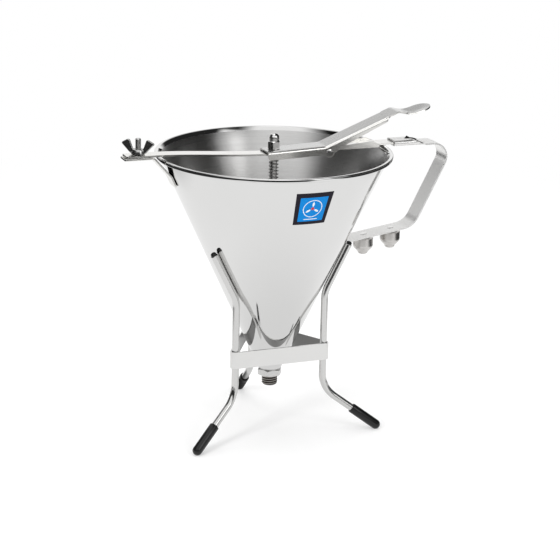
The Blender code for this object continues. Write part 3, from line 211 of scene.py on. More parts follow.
def shut_flat(piece, angle=35.0):
    """As `shut`, but rounded edges leave the broad faces beside them flat."""
    shut(piece, angle)
    apply_modifier(piece, "WEIGHTED_NORMAL", mode="FACE_AREA", weight=50, keep_sharp=True)


def dress(piece, finish, body, *nodes, slot="satin_steel"):
    """Gives a finished piece its material, its body and the nodes that it stands for."""
    piece.data.materials.clear()
    piece.data.materials.append(finish)
    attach(piece, body)
    if nodes:
        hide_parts(*nodes)


def repaint(piece, finish, test):
    """Gives the faces that pass a test a finish of their own."""
    piece.data.materials.append(finish)
    for face in piece.data.polygons:
        if test(face):
            face.material_index = len(piece.data.materials) - 1


# Lines and sections
def eased(share):
    share = min(1.0, max(0.0, share))
    return (1.0 - cos(pi * share)) / 2.0


def evenly(start, end, steps):
    """Numbers from start to end in even steps."""
    return [start + (end - start) * step / steps for step in range(steps + 1)]


def arc(centre, radius, start, end, steps, rise=None):
    """Points of an arc in an (across, up) plane, in degrees, flattened by a rise of its own."""
    rise = radius if rise is None else rise
    turns = [radians(angle) for angle in evenly(start, end, steps)]
    return [(centre[0] + radius * cos(a), centre[1] + rise * sin(a)) for a in turns]


def rounded(corners, radii, steps=8):
    """Points of a path with a fillet of its own radius at each inner corner."""
    corners = [Vector(corner) for corner in corners]
    path = [corners[0]]
    for index, radius in enumerate(radii, start=1):
        corner = corners[index]
        before = (corners[index - 1] - corner).normalized()
        after = (corners[index + 1] - corner).normalized()
        half = before.angle(after) / 2.0
        reach = radius / tan(half)
        centre = corner + (before + after).normalized() * radius / sin(half)
        start = (corner + before * reach - centre).normalized()
        end = (corner + after * reach - centre).normalized()
        path += [centre + start.slerp(end, share) * radius for share in evenly(0.0, 1.0, steps)]
    return path + [corners[-1]]


def spaced(path, longest):
    """The same path with no step longer than `longest`."""
    points = [path[0]]
    for point in path[1:]:
        count = max(1, ceil((point - points[-1]).length / longest))
        points += [points[-1].lerp(point, share) for share in evenly(0.0, 1.0, count)[1:]]
    return points


def headings(path):
    """The angle of an (x, 0, z) path at each of its points."""
    runs = [after - before for before, after in zip(path[:1] + path, path[1:] + path[-1:])]
    return [atan2(run.z, run.x) for run in runs]


def folded(flat, steps, bend, turn, lip):
    """Half a section as (across, down): flat middle, bent edge, straight lip."""
    flat_steps, bend_steps, lip_steps = steps
    half = [(reach, 0.0) for reach in evenly(0.0, flat, flat_steps)]
    across, down, angle = flat, 0.0, 0.0
    for _ in range(bend_steps):
        angle += turn / bend_steps / 2.0
        across += bend / bend_steps * cos(angle)
        down += bend / bend_steps * sin(angle)
        angle += turn / bend_steps / 2.0
        half.append((across, down))
    for _ in range(lip_steps):
        across += lip / lip_steps * cos(angle)
        down += lip / lip_steps * sin(angle)
        half.append((across, down))
    return half


def across_strip(point, turn, half):
    """Both halves of a section, set square to a path that heads for `turn` at a point."""
    side = Vector((sin(turn), 0.0, -cos(turn)))
    section = [(-across, down) for across, down in reversed(half[1:])] + half
    return [point + side * down + ACROSS * across for across, down in section]


# Ways to make a shape
def turned(name, profile, axis_x, steps):
    """A turned piece: a profile of (radius, height) spun round an upright axis."""
    piece = draw_line(name, [(axis_x + radius, 0.0, height) for radius, height in profile])
    bpy.ops.mesh.spin(steps=steps, angle=tau, center=(axis_x, 0.0, 0.0), axis=UPRIGHT)
    tidy_mesh()
    return piece


def plate(name, outline, thickness):
    """A flat plate from its (x, z) outline, upright and centred on Y = 0."""
    piece = draw_line(name, [(x, -thickness / 2.0, z) for x, z in outline])
    bpy.ops.mesh.edge_face_add()
    shove((0.0, thickness, 0.0))
    tidy_mesh()
    return piece


def ribbon(name, path, width, thickness, corner):
    """A strip of sheet, square across, along an (x, 0, z) path, with rounded ends."""
    piece = draw_line(name, [(point.x, -width / 2.0, point.z) for point in path])
    shove((0.0, width, 0.0))
    tidy_mesh()
    ends = (path[0], path[-1])
    pick(piece, lambda place: min(
        hypot(place.x - end.x, place.z - end.z) for end in ends) < TINY)
    bpy.ops.mesh.bevel(offset=corner, segments=6, affect="VERTICES")
    tidy_mesh()
    free_hands()
    thicken(piece, thickness)
    return piece


def loft(name, rows):
    """A sheet through rows of points, made from a grid whose corners are placed."""
    free_hands()
    bpy.ops.mesh.primitive_grid_add(
        x_subdivisions=len(rows[0]) - 1, y_subdivisions=len(rows) - 1, size=MM,
    )
    piece = fresh(name)
    points = [point for row in rows for point in row]
    for corner, point in zip(piece.data.vertices, points, strict=True):
        corner.co = point
    return piece


def threaded(name, root, crest, pitch, low, high, sides=40):
    """A screwed rod on the Z axis: one tooth wound upwards, then cut level."""
    turns = ceil((high - low) / pitch) + 2
    tooth = ((root, 0.0), (root, 0.08), (crest, 0.44), (crest, 0.56), (root, 0.92), (root, 1.0))
    piece = draw_line(name, [(radius, 0.0, low + (share - 1.0) * pitch) for radius, share in tooth])
    wind(piece, pitch, turns, sides)
    open_piece(piece)
    tidy_mesh()
    cut_level(low, clear_inner=True)
    cut_level(high, clear_outer=True)
    tidy_mesh()
    return piece


def wire(name, corners, bends, radius, sides=24, steps=14):
    """Round wire: a ring pushed along straight runs and spun round each bend."""
    corners = [Vector(corner) for corner in corners]
    heading = (corners[1] - corners[0]).normalized()
    piece = ring(name, sides, radius, corners[0], heading.to_track_quat("Z", "Y").to_euler())
    open_piece(piece)
    place = corners[0]
    for index, bend in enumerate(bends, start=1):
        corner = corners[index]
        leave = (corners[index + 1] - corner).normalized()
        turn = heading.angle(leave)
        reach = bend * tan(turn / 2.0)
        axis = heading.cross(leave).normalized()
        shove(corner - heading * reach - place)
        centre = corner - heading * reach + axis.cross(heading) * bend
        bpy.ops.mesh.spin(steps=steps, angle=-turn, center=centre, axis=axis)
        place = corner + leave * reach
        heading = leave
    shove(corners[-1] - place)
    close_holes()
    return piece


def bar_stock(sides, radius, length, place, turn):
    free_hands()
    bpy.ops.mesh.primitive_cylinder_add(
        vertices=sides, radius=radius, depth=length, location=place, rotation=turn,
    )
    return fresh("bar_stock")


def ring(name, sides, radius, place, turn):
    free_hands()
    bpy.ops.mesh.primitive_circle_add(
        vertices=sides, radius=radius, fill_type="NOTHING", location=place, rotation=turn,
    )
    return fresh(name)


def drill(piece, radius, start, end, solver="EXACT"):
    """Drills a round hole from one point to another."""
    run = end - start
    turn = run.to_track_quat("Z", "Y").to_euler()
    combine(piece, bar_stock(48, radius, run.length, (start + end) / 2.0, turn), solver=solver)


def mill_hexagon(piece, flats, low, high):
    """Mills six flats round a piece on the Z axis, a little past both its ends."""
    past = MM
    low, high = low - past, high + past
    place, turn = (0.0, 0.0, (low + high) / 2.0), (0.0, 0.0, pi / 6.0)
    hexagon = bar_stock(6, flats / sqrt(3.0), high - low, place, turn)
    combine(piece, hexagon, operation="INTERSECT")


# Finishes: shader maths is written as sums and products of node outputs
class Flow:
    """An output of a node. Sums and products with it add their Math nodes."""

    def __init__(self, nodes, socket):
        self.nodes = nodes
        self.socket = socket

    def math(self, operation, *values):
        return self.nodes.node("ShaderNodeMath", {"operation": operation}, dict(enumerate(values)))

    def __add__(self, other):
        return self.math("ADD", self, other)

    def __radd__(self, other):
        return self.math("ADD", other, self)

    def __sub__(self, other):
        return self.math("SUBTRACT", self, other)

    def __rsub__(self, other):
        return self.math("SUBTRACT", other, self)

    def __mul__(self, other):
        return self.math("MULTIPLY", self, other)

    def __rmul__(self, other):
        return self.math("MULTIPLY", other, self)

    def __pow__(self, other):
        return self.math("POWER", self, other)

    def __abs__(self):
        return self.math("ABSOLUTE", self)

    def least(self, other):
        return self.math("MINIMUM", self, other)

    def most(self, other):
        return self.math("MAXIMUM", self, other)

    def step(self, low, high, start=0.0, end=1.0):
        """Eases from `start` to `end` while this value runs from `low` to `high`."""
        return self.nodes.node(
            "ShaderNodeMapRange", {"interpolation_type": "SMOOTHSTEP"},
            {"Value": self, "From Min": low, "From Max": high, "To Min": start, "To Max": end},
            output="Result",
        )

    def inside(self, low, high, soft):
        """One between two values and zero outside, with soft shoulders."""
        return self.step(low - soft, low) * self.step(high, high + soft, 1.0, 0.0)


class Nodes:
    """The nodes of a material or of the world."""

    def __init__(self, owner):
        owner.use_nodes = True
        self.tree = owner.node_tree
        self.tree.nodes.clear()

    def put(self, socket, value):
        if isinstance(value, Flow):
            self.tree.links.new(value.socket, socket)
        else:
            socket.default_value = value

    def node(self, kind, settings=None, values=None, output=0):
        made = self.tree.nodes.new(kind)
        for key, value in (settings or {}).items():
            setattr(made, key, value)
        for key, value in (values or {}).items():
            self.put(made.inputs[key], value)
        return Flow(self, made.outputs[output])

    def show(self, kind, surface):
        """Leads a shader to the output node."""
        self.put(self.tree.nodes.new(kind).inputs["Surface"], surface)

    def ray(self, kind):
        return self.node("ShaderNodeLightPath", output="Is " + kind + " Ray")


class Finish(Nodes):
    """A material with one Principled shader."""

    def __init__(self, name, color, roughness, metallic=0.0, **constants):
        self.material = bpy.data.materials.new(name)
        super().__init__(self.material)
        shader = self.node("ShaderNodeBsdfPrincipled")
        self.inputs = shader.socket.node.inputs
        self.show("ShaderNodeOutputMaterial", shader)
        self.set("Base Color", (*color, 1.0))
        self.set("Roughness", roughness)
        self.set("Metallic", metallic)
        for key, value in constants.items():
            self.set(key.replace("_", " "), value)

    def set(self, name, value):
        self.put(self.inputs[name], value)

    def place(self, centre=NOWHERE, scale=None):
        """Object coordinates, centred by a Mapping node and stretched by `scale`."""
        where = self.node("ShaderNodeTexCoord", output="Object")
        moved = self.node(
            "ShaderNodeMapping", {"vector_type": "TEXTURE"}, {"Vector": where, "Location": centre},
        )
        if scale is None:
            return moved
        return self.node("ShaderNodeVectorMath", {"operation": "MULTIPLY"}, {0: moved, 1: scale})

    def parts(self, vector):
        """The three numbers of a vector."""
        node = self.node("ShaderNodeSeparateXYZ", values={"Vector": vector}).socket.node
        return [Flow(self, output) for output in node.outputs]

    def joined(self, x, y, z):
        return self.node("ShaderNodeCombineXYZ", values={"X": x, "Y": y, "Z": z})

    def noise(self, vector, scale=1.0, detail=2.0, roughness=0.5):
        return self.node(
            "ShaderNodeTexNoise", {"noise_dimensions": "3D"},
            {"Vector": vector, "Scale": scale, "Detail": detail, "Roughness": roughness},
            output="Fac",
        )

    def mix(self, factor, first, second):
        """Colour between two colours."""
        ends = [end if isinstance(end, Flow) else (*end, 1.0) for end in (first, second)]
        values = {"Factor": factor, 6: ends[0], 7: ends[1]}
        return self.node("ShaderNodeMix", {"data_type": "RGBA"}, values, output=2)

    def grey(self, value, tint=(1.0, 1.0, 1.0)):
        """A value as a shade of grey with a slight tint."""
        return self.mix(value, (0.0, 0.0, 0.0), tint)

    def surface(self, tone, tint, roughness, height, distance, strength):
        """Sets grey tone, roughness and fine relief, and hands the material over."""
        values = {"Height": height, "Distance": distance, "Strength": strength}
        self.set("Base Color", self.grey(tone, tint))
        self.set("Roughness", roughness)
        self.set("Normal", self.node("ShaderNodeBump", values=values, output="Normal"))
        return self.material


def steel(name, shade, roughness, brushed, grain, tint=(1.0, 0.996, 0.985)):
    """Drawn steel sheet or wire: fine streaks along one direction, under faint smudges."""
    finish = Finish(name, (shade, shade, shade * 0.985), roughness, 1.0)
    streaks = finish.noise(finish.place(scale=grain), detail=3.0, roughness=0.6)
    smudges = finish.noise(finish.place(), scale=45.0, detail=3.0)
    tone = shade + (streaks - 0.5) * brushed + (smudges - 0.5) * 0.05
    rough = roughness + (streaks - 0.5) * 0.12 + (smudges - 0.5) * 0.08
    return finish.surface(tone, tint, rough, streaks, 0.00001, 0.35)


def polished_sheet():
    """Polished outside of the cone, with the faint unevenness of spun sheet."""
    finish = Finish("polished_cone_steel", (0.78, 0.78, 0.775), 0.05, 1.0)
    smudges = finish.noise(finish.place(), scale=22.0, detail=4.0, roughness=0.55)
    fine = finish.noise(finish.place(scale=(400.0, 400.0, 2200.0)))
    tone = 0.765 + (smudges - 0.5) * 0.03 + (fine - 0.5) * 0.01
    tint = (1.0, 0.998, 0.99)
    return finish.surface(tone, tint, 0.035 + smudges * 0.04, smudges, 0.00004, 0.4)


def brushed_inside():
    """Spun brushing inside the cone: fine rings over broader, fainter ones."""
    finish = Finish(
        "brushed_inner_steel", (0.60, 0.60, 0.60), 0.34, 1.0,
        Anisotropic=0.85, Anisotropic_Rotation=0.25,
    )
    x, y, z = finish.parts(finish.place(centre=ON_AXIS))
    reach = (x * x + y * y) ** 0.5
    fine, wide = 5200.0, 420.0
    rings = finish.noise(finish.joined(reach * fine, z * fine, 0.0), roughness=0.7)
    broad = finish.noise(finish.joined(reach * wide, z * wide, 0.0))
    tone = 0.63 + (rings - 0.5) * 0.20 + (broad - 0.5) * 0.10
    tint = (1.0, 0.995, 0.985)
    return finish.surface(tone, tint, 0.30 + (rings - 0.5) * 0.15, rings, 0.00002, 0.5)


def vinyl(name, shade, roughness, shine=0.20):
    """Dipped vinyl or rubber with a little dust on it."""
    finish = Finish(name, (shade, shade, shade), roughness, Specular_IOR_Level=shine)
    dust = finish.noise(finish.place(), scale=260.0, detail=4.0)
    smear = finish.noise(finish.place(), scale=60.0)
    tone = shade + (dust - 0.5) * shade * 0.5
    rough = roughness + (smear - 0.5) * 0.14
    return finish.surface(tone, (1.0, 1.0, 1.02), rough, dust, 0.00003, 0.3)


def label_print():
    """A blue field in a black border, with a white ring, three leaves round a dot and a bar."""
    finish = Finish("label_print", (0.02, 0.02, 0.03), 0.35, Specular_IOR_Level=0.08)
    spot = finish.node("ShaderNodeUVMap")
    across, up, _ = finish.parts(spot)
    x, y = across - 0.5, up - 0.5
    field = abs(x).step(0.375, 0.385, 1.0, 0.0) * abs(y + 0.02).step(0.375, 0.385, 1.0, 0.0)
    reach = (x * x + y * y) ** 0.5
    ring = reach.inside(0.255, 0.270, 0.006)
    dot = reach.step(0.040, 0.050, 1.0, 0.0)
    leaves, leaf_place, leaf_narrow = 0.0, 0.135, 5.5
    for turn in (90.0, 210.0, 330.0):
        angle = radians(turn)
        along = x * cos(angle) + y * sin(angle) - leaf_place
        aside = y * cos(angle) - x * sin(angle)
        shape = (along * along + aside * aside * leaf_narrow) ** 0.5
        leaves = shape.step(0.066, 0.074, 1.0, 0.0) + leaves
    bar = abs(y + 0.335).step(0.010, 0.014, 1.0, 0.0) * abs(x).step(0.20, 0.206, 1.0, 0.0)
    white = (ring + leaves + bar).least(1.0)
    grain = finish.noise(spot, scale=60.0, detail=3.0)
    blue = finish.mix(field, (0.012, 0.010, 0.016), (0.001, 0.190, 0.545))
    inked = finish.mix(white * field, blue, (0.70, 0.72, 0.74))
    warm = finish.mix(dot * field, inked, (0.50, 0.05, 0.04))
    finish.set("Base Color", finish.mix(grain * 0.03, warm, (0.10, 0.10, 0.12)))
    finish.set("Roughness", 0.30 + (grain - 0.5) * 0.10)
    return finish.material


# Streaks to the metre along X, Y and Z
STRIP_GRAIN = (60.0, 2500.0, 2500.0)
HANDLE_GRAIN = (60.0, 2500.0, 900.0)
BAND_GRAIN = (2500.0, 2500.0, 90.0)
WIRE_GRAIN = (900.0, 900.0, 60.0)
COIL_GRAIN = (900.0, 900.0, 400.0)
CAST_GRAIN = (900.0, 900.0, 900.0)
TURNED_GRAIN = (300.0, 300.0, 2600.0)
WARM = (1.0, 0.99, 0.96)

# Steel: shade, roughness, contrast of its brushing, grain and tint
SATIN_STRIP = steel("satin_strip_steel", 0.70, 0.27, 0.10, STRIP_GRAIN)
HANDLE_STEEL = steel("handle_strip_steel", 0.96, 0.38, 0.09, HANDLE_GRAIN)
# Pale steel of the pivot bracket, also used as a painted highlight on the lever's side walls
PALE_STRIP_AND_HIGHLIGHT = steel("pivot_bracket_steel_and_highlight", 0.92, 0.26, 0.05, STRIP_GRAIN, WARM)
BAR_STEEL = steel("bar_strip_steel", 0.86, 0.20, 0.06, STRIP_GRAIN, WARM)
BAND_STEEL = steel("band_strip_steel", 0.80, 0.22, 0.05, BAND_GRAIN)
# The band's steel made dark for its inner faces: painted shade
BAND_INNER_SHADE = steel("band_inner_painted_shade", 0.27, 0.30, 0.05, BAND_GRAIN)
SATIN_WIRE = steel("drawn_wire_steel", 0.69, 0.17, 0.06, WIRE_GRAIN)
SPRING_WIRE = steel("spring_wire", 0.36, 0.25, 0.10, COIL_GRAIN)
# Steel of the wing nut and stud, also used as painted shade on the pivot bracket's top
DARK_STEEL_AND_SHADE = steel("cast_wing_steel_and_shade", 0.62, 0.16, 0.10, CAST_GRAIN)
BRIGHT = steel("bright_turned_steel", 0.78, 0.12, 0.06, TURNED_GRAIN)
NOZZLE_STEEL = steel("turned_nozzle_steel", 0.66, 0.30, 0.12, TURNED_GRAIN, (1.0, 0.975, 0.945))
THREAD_STEEL = steel("cut_thread_steel", 0.76, 0.24, 0.10, TURNED_GRAIN, (1.0, 0.96, 0.90))
# Dark steel for the thread's roots: painted shade in the grooves
THREAD_GROOVE_SHADE = steel("thread_groove_painted_shade", 0.100, 0.35, 0.02, TURNED_GRAIN, (1.0, 0.90, 0.80))
POLISHED = polished_sheet()
INSIDE = brushed_inside()
BLACK = vinyl("black_vinyl_dip", 0.005, 0.12, 0.45)
# Near-black finish used as painted shade: under the rim's bead, inside the handle's sleeve and on
# the clamp's faces towards the cone
PAINTED_SHADE = vinyl("painted_shade_vinyl", 0.020, 0.55)
SEAL = vinyl("grey_seal", 0.45, 0.5)
LABEL = label_print()


# Cone with its rolled rim
RIM_HEIGHT = 0.2376
BEAD = 0.00157
BEAD_CIRCLE = 0.0960
SHEET = 0.0009
TIP_HEIGHT = 0.0532
TIP_RADIUS = 0.0098
LEAN = atan2(BEAD_CIRCLE - BEAD - TIP_RADIUS, RIM_HEIGHT - TIP_HEIGHT)
GAP = 0.0003


def wall(height):
    """Outer radius of the cone at a height."""
    return TIP_RADIUS + (height - TIP_HEIGHT) * tan(LEAN)


def make_cone():
    """Sheet cone: up its outside, round a squarish bead and down its inside."""
    rows, sides, squareness = 24, 160, 0.60
    joint = RIM_HEIGHT - BEAD * 0.75
    inner = SHEET / cos(LEAN)
    profile = [(wall(height), height) for height in evenly(TIP_HEIGHT, joint, rows)]
    for across, up in arc((0.0, 0.0), 1.0, -146, 150, 30):
        across = copysign(abs(across) ** squareness, across)
        up = copysign(abs(up) ** squareness, up)
        profile.append((BEAD_CIRCLE + across * BEAD, RIM_HEIGHT + up * BEAD))
    down = evenly(RIM_HEIGHT - BEAD, TIP_HEIGHT, rows)
    profile += [(wall(height) - inner, height) for height in down] + [profile[0]]
    cone = turned("cone_shell", profile, AXIS, sides)
    shut(cone, 50.0)
    dress(cone, POLISHED, "funnel", "funnel_cone", slot="polished_steel")
    bead_edge = -BEAD * 1.02

    def from_bead(face):
        """A face's place across and above the bead's middle, and how far it looks outwards."""
        reach = Vector((face.center.x - AXIS, face.center.y, 0.0))
        outwards = face.normal.dot(reach.normalized())
        return reach.length - BEAD_CIRCLE, face.center.z - RIM_HEIGHT, outwards

    def inner_wall(face):
        across, up, outwards = from_bead(face)
        return outwards < -0.2 and up < -BEAD * 0.3 and across < bead_edge

    # The bead's underside next to the wall, which gets painted shade
    def shade_under_bead(face):
        across, up, _ = from_bead(face)
        turn = degrees(atan2(up, across))
        return up < -BEAD * 0.5 and turn < -116.0 and across > bead_edge

    repaint(cone, INSIDE, inner_wall)
    repaint(cone, PAINTED_SHADE, shade_under_bead)


# Stand of bent wire
LEG_CIRCLE = 0.0450
WIRE = 0.0030
LEG_BEND = 0.0250
LEG_RUN = 0.0440
FOOT_CIRCLE = 0.0914
FOOT_SLOPE = radians(36.0)
FOOT_HEIGHT = 0.00385
BOOT = 0.0041
BOOT_LENGTH = 0.0300
LEGS = {
    # Azimuth of the leg, then how far its upper end and its foot are swung round, in degrees
    "right": (-30.0, 8.5, 14.0),
    "back": (90.0, 0.0, -8.0),
    "left": (210.0, -8.5, 0.0),
}


def leg_corners(spread, swing):
    """Corners of a leg that stands at the +X side of the cone's axis and leans on the cone."""
    top_circle = LEG_CIRCLE + LEG_RUN * sin(LEAN)
    across = hypot(LEG_CIRCLE + top_circle * cos(spread), top_circle * sin(spread))
    dip = (LEG_CIRCLE + top_circle - across) / 2.0
    gap = (WIRE + GAP) / cos(LEAN) + dip
    bend = TIP_HEIGHT + (LEG_CIRCLE - gap - TIP_RADIUS) / tan(LEAN)
    knee = FOOT_HEIGHT + (FOOT_CIRCLE - LEG_CIRCLE) * tan(FOOT_SLOPE)
    short_of_toe = 0.0018
    stride = FOOT_CIRCLE - short_of_toe * cos(FOOT_SLOPE) - LEG_CIRCLE
    foot = FOOT_HEIGHT + short_of_toe * sin(FOOT_SLOPE)
    top = bend + LEG_RUN * cos(LEAN)
    return [
        Vector((LEG_CIRCLE + stride * cos(swing), stride * sin(swing), foot)),
        Vector((LEG_CIRCLE, 0.0, knee)),
        Vector((LEG_CIRCLE, 0.0, bend)),
        Vector((top_circle * cos(spread), top_circle * sin(spread), top)),
    ]


def make_boot(side, foot):
    """A dipped boot with a rolled mouth and a round toe, worn level by the table."""
    mouth, grip = BOOT_LENGTH - BOOT, WIRE + 0.0001
    profile = [(grip, mouth - 0.006), (grip, mouth - 0.0006), (WIRE + 0.0003, mouth - 0.0001)]
    profile += [(BOOT - 0.0004, mouth), (BOOT - 0.0001, mouth - 0.0002), (BOOT, mouth - 0.0006)]
    profile += [(BOOT, mouth - 0.010), (BOOT, mouth - 0.018)]
    profile += arc((0.0, 0.0), BOOT, 0.0, -90.0, 10)
    boot = turned("dipped_boot_" + side, profile, 0.0, 40)
    free_hands()
    boot.matrix_world = foot
    shut(boot, 60.0)
    open_piece(boot)
    cut_level(0.0, clear_inner=True)
    shut(boot, 60.0)
    dress(boot, BLACK, "stand", "leg_boot_" + side, slot="black_vinyl")


def make_plug(side, end, run):
    """A small plug with a shallow dome, set in a wire's upper end."""
    neck, collar, dome_foot, dome_rise = 0.0016, 0.0024, 0.0009, 0.0017
    head = [(0.0, -0.004), (neck, -0.004), (neck, 0.0002), (0.0022, 0.0002), (collar, 0.0005)]
    head += [(collar, dome_foot)] + arc((0.0, dome_foot), collar, 15.0, 90.0, 5, dome_rise)
    plug = turned("end_plug_" + side, head, 0.0, 32)
    put_at(plug, end, run.to_track_quat("Z", "Y").to_euler())
    shut(plug, 60.0)
    dress(plug, BLACK, "stand", "leg_plug_" + side, slot="black_vinyl")


def make_leg(side, azimuth, spread, swing):
    place = Matrix.Translation(ON_AXIS) @ Matrix.Rotation(radians(azimuth), 4, "Z")
    local = leg_corners(radians(spread), radians(swing))
    corners = [place @ corner for corner in local]
    leg = wire("wire_leg_" + side, corners, (LEG_BEND, LEG_BEND), WIRE)
    shut(leg, 60.0)
    round_edges(leg, 0.0004, 2, 60.0)
    shut_flat(leg, 60.0)
    dress(leg, SATIN_WIRE, "stand", "stand_leg_" + side)

    foot = place @ Matrix.Translation((LEG_CIRCLE, 0.0, 0.0))
    foot = foot @ Matrix.Rotation(radians(swing), 4, "Z")
    foot = foot @ Matrix.Translation((FOOT_CIRCLE - LEG_CIRCLE, 0.0, FOOT_HEIGHT))
    make_boot(side, foot @ Matrix.Rotation(pi * 1.5 + FOOT_SLOPE, 4, "Y"))
    make_plug(side, corners[-1], corners[-1] - corners[-2])


def make_band():
    """Flat band bent round the three wires and joined in a ring."""
    corner, half, level, sheet = 0.0033 + 0.0006, 0.0072, 0.0708, 0.0012
    loop = []
    for azimuth, *_ in LEGS.values():
        turn = radians(azimuth)
        around = (AXIS + LEG_CIRCLE * cos(turn), LEG_CIRCLE * sin(turn))
        loop += arc(around, corner, azimuth - 60.0, azimuth + 60.0, 16)
    loop.append(loop[0])
    band = draw_line("stand_strap", [(x, y, level - half) for x, y in loop])
    join_corners()
    shove((0.0, 0.0, 2.0 * half))
    tidy_mesh()
    free_hands()
    thicken(band, sheet)
    round_edges(band, 0.00018, 2, 50.0)
    shut_flat(band)
    dress(band, BAND_STEEL, "stand", "stand_band")

    def looks_inwards(face):
        outwards = face.normal.x * (face.center.x - AXIS) + face.normal.y * face.center.y
        return outwards < -0.006

    # The band's inner faces, towards the cone, are painted dark: painted shade
    repaint(band, BAND_INNER_SHADE, looks_inwards)


# Crossbar with its clamp and wing nut
BAR_ENDS = (-0.1270, 0.1185)
BAR_LEVEL = 0.2395
BAR_RISE = 0.0028
BAR_DIP = 0.0037
BAR_DIP_MIDDLE = -0.0050
BAR_DIP_REACHES = (0.1000, 0.0750)
BAR_SHEET = 0.0015
BAR_WIDTH = 0.0130
ROD_HOLE = 0.0031
STUD_HOLE = 0.0028
STUD_OFFSET = -0.1158
FLANGE_LEVEL = 0.241872


def bar_underside(offset):
    """The crossbar dips a little between its level ends."""
    along = (offset - BAR_ENDS[0]) / (BAR_ENDS[1] - BAR_ENDS[0])
    reach = BAR_DIP_REACHES[0] if offset < BAR_DIP_MIDDLE else BAR_DIP_REACHES[1]
    share = min(1.0, abs(offset - BAR_DIP_MIDDLE) / reach)
    dip = BAR_DIP * (1.0 + cos(pi * share)) / 2.0
    return BAR_LEVEL + BAR_RISE * (1.0 - along) - dip


def make_crossbar():
    half = BAR_SHEET / 2.0
    path = [at(offset, bar_underside(offset) + half) for offset in evenly(*BAR_ENDS, 90)]
    bar = ribbon("crossbar_strip", path, BAR_WIDTH, BAR_SHEET, 0.0012)
    for offset, radius in ((0.0, ROD_HOLE), (STUD_OFFSET, STUD_HOLE)):
        level = bar_underside(offset)
        drill(bar, radius, at(offset, level - 0.004), at(offset, level + 0.006))
    round_edges(bar, 0.00035, 3, 50.0)
    shut_flat(bar)
    dress(bar, BAR_STEEL, "funnel", "crossbar")


def make_clamp():
    """Bracket from the wall out under the crossbar's end, with its threaded stud."""
    sheet, width, foot, bend, nose = 0.0018, 0.0140, 0.0090, 0.0040, 0.0015
    low = RIM_HEIGHT - 0.0215
    high = low + foot * cos(LEAN)
    off = (GAP + sheet / 2.0) / cos(LEAN)
    flange = FLANGE_LEVEL - sheet / 2.0
    corners = [at(-wall(low) - off, low), at(-wall(high) - off, high)]
    corners += [at(-0.1045, flange), at(-0.1286, flange)]
    bracket = ribbon("clamp_strip", rounded(corners, (bend, bend)), width, sheet, nose)
    ends = (FLANGE_LEVEL - 0.006, FLANGE_LEVEL + 0.004)
    drill(bracket, STUD_HOLE, at(STUD_OFFSET, ends[0]), at(STUD_OFFSET, ends[1]))
    round_edges(bracket, 0.00045, 3, 50.0)
    shut_flat(bracket)
    dress(bracket, BAR_STEEL, "funnel", "clamp_bracket")
    shaded = FLANGE_LEVEL - 0.004
    # The bracket's faces that look towards the cone's wall, below the flange, get painted shade
    repaint(bracket, PAINTED_SHADE, lambda face: face.normal.x > 0.55 and face.center.z < shaded)

    low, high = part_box("clamp_stud")
    root, crest, pitch, blank = 0.00205, 0.0025, 0.0008, 0.0027
    stud = threaded("threaded_stud", root, crest, pitch, low.z, high.z)
    ends = [(0.0, low.z), (0.0022, low.z), (blank, low.z + 0.0005), (blank, high.z - 0.0009)]
    ends += [(0.0018, high.z), (0.0, high.z)]
    combine(stud, turned("ends", ends, 0.0, 48), operation="INTERSECT")
    put_at(stud, at(STUD_OFFSET, 0.0))
    shut(stud)
    dress(stud, DARK_STEEL_AND_SHADE, "funnel", "clamp_stud")


def make_wing_nut():
    """Turned hub with two plate wings, stopped a little askew."""
    low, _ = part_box("wing_nut")
    bore, wing_sheet, stopped_at = 0.0028, 0.0023, radians(-34.0)
    hub = [(bore, 0.0), (0.0053, 0.0), (0.0056, 0.0003), (0.0056, 0.0012), (0.0050, 0.0037)]
    hub += [(0.0047, 0.0041), (0.0042, 0.0043), (0.0032, 0.0043), (bore, 0.0040), (bore, 0.0)]
    nut = turned("wing_nut_hub", hub, 0.0, 56)
    corners = [(0.0034, 0.0006), (0.0064, 0.0008), (0.0141, 0.0090)]
    corners += [(0.0074, 0.0128), (0.0046, 0.0052), (0.0034, 0.0042)]
    bends = (0.0020, 0.0013, 0.0016, 0.0020)
    outline = rounded([(x, 0.0, z) for x, z in corners], bends, 6)
    wings = []
    for side in (1.0, -1.0):
        wing = plate("wing", [(point.x * side, point.z) for point in outline], wing_sheet)
        round_edges(wing, 0.0007, 4, 60.0)
        wings.append(wing)
    combine(nut, *wings, operation="UNION")
    put_at(nut, at(STUD_OFFSET, low.z), (0.0, 0.0, stopped_at))
    shut_flat(nut, 40.0)
    dress(nut, DARK_STEEL_AND_SHADE, "wing_nut", "wing_nut")


# Handle: one strip from the wall round to the flat sleeve that grips the crossbar
SLEEVE_MOUTH = 0.1045
SLEEVE_CLOSED = 0.0110
SLEEVE_FLARE = 0.0180
HANDLE_LEVEL = 0.23855
HANDLE_SHEET = 0.0013
HANDLE_CORNERS = (
    (0.05448, 0.1483), (0.05906, 0.1583), (0.1239, 0.16799), (0.15959, HANDLE_LEVEL),
)
HANDLE_BENDS = (0.0040, 0.0170, 0.0120)


def sleeve_section(rolled, open_share):
    """Half the strip's section: `rolled` turns its edge over, `open_share` shortens the roof."""
    floor, bend, roof, flat_bend, least = 0.00585, 0.00534, 0.00570, 0.00335, 0.0003
    wing = flat_bend + (bend - flat_bend) * rolled ** 2
    return folded(floor, (6, 18, 8), wing, pi * rolled, least + roof * (1.0 - open_share))


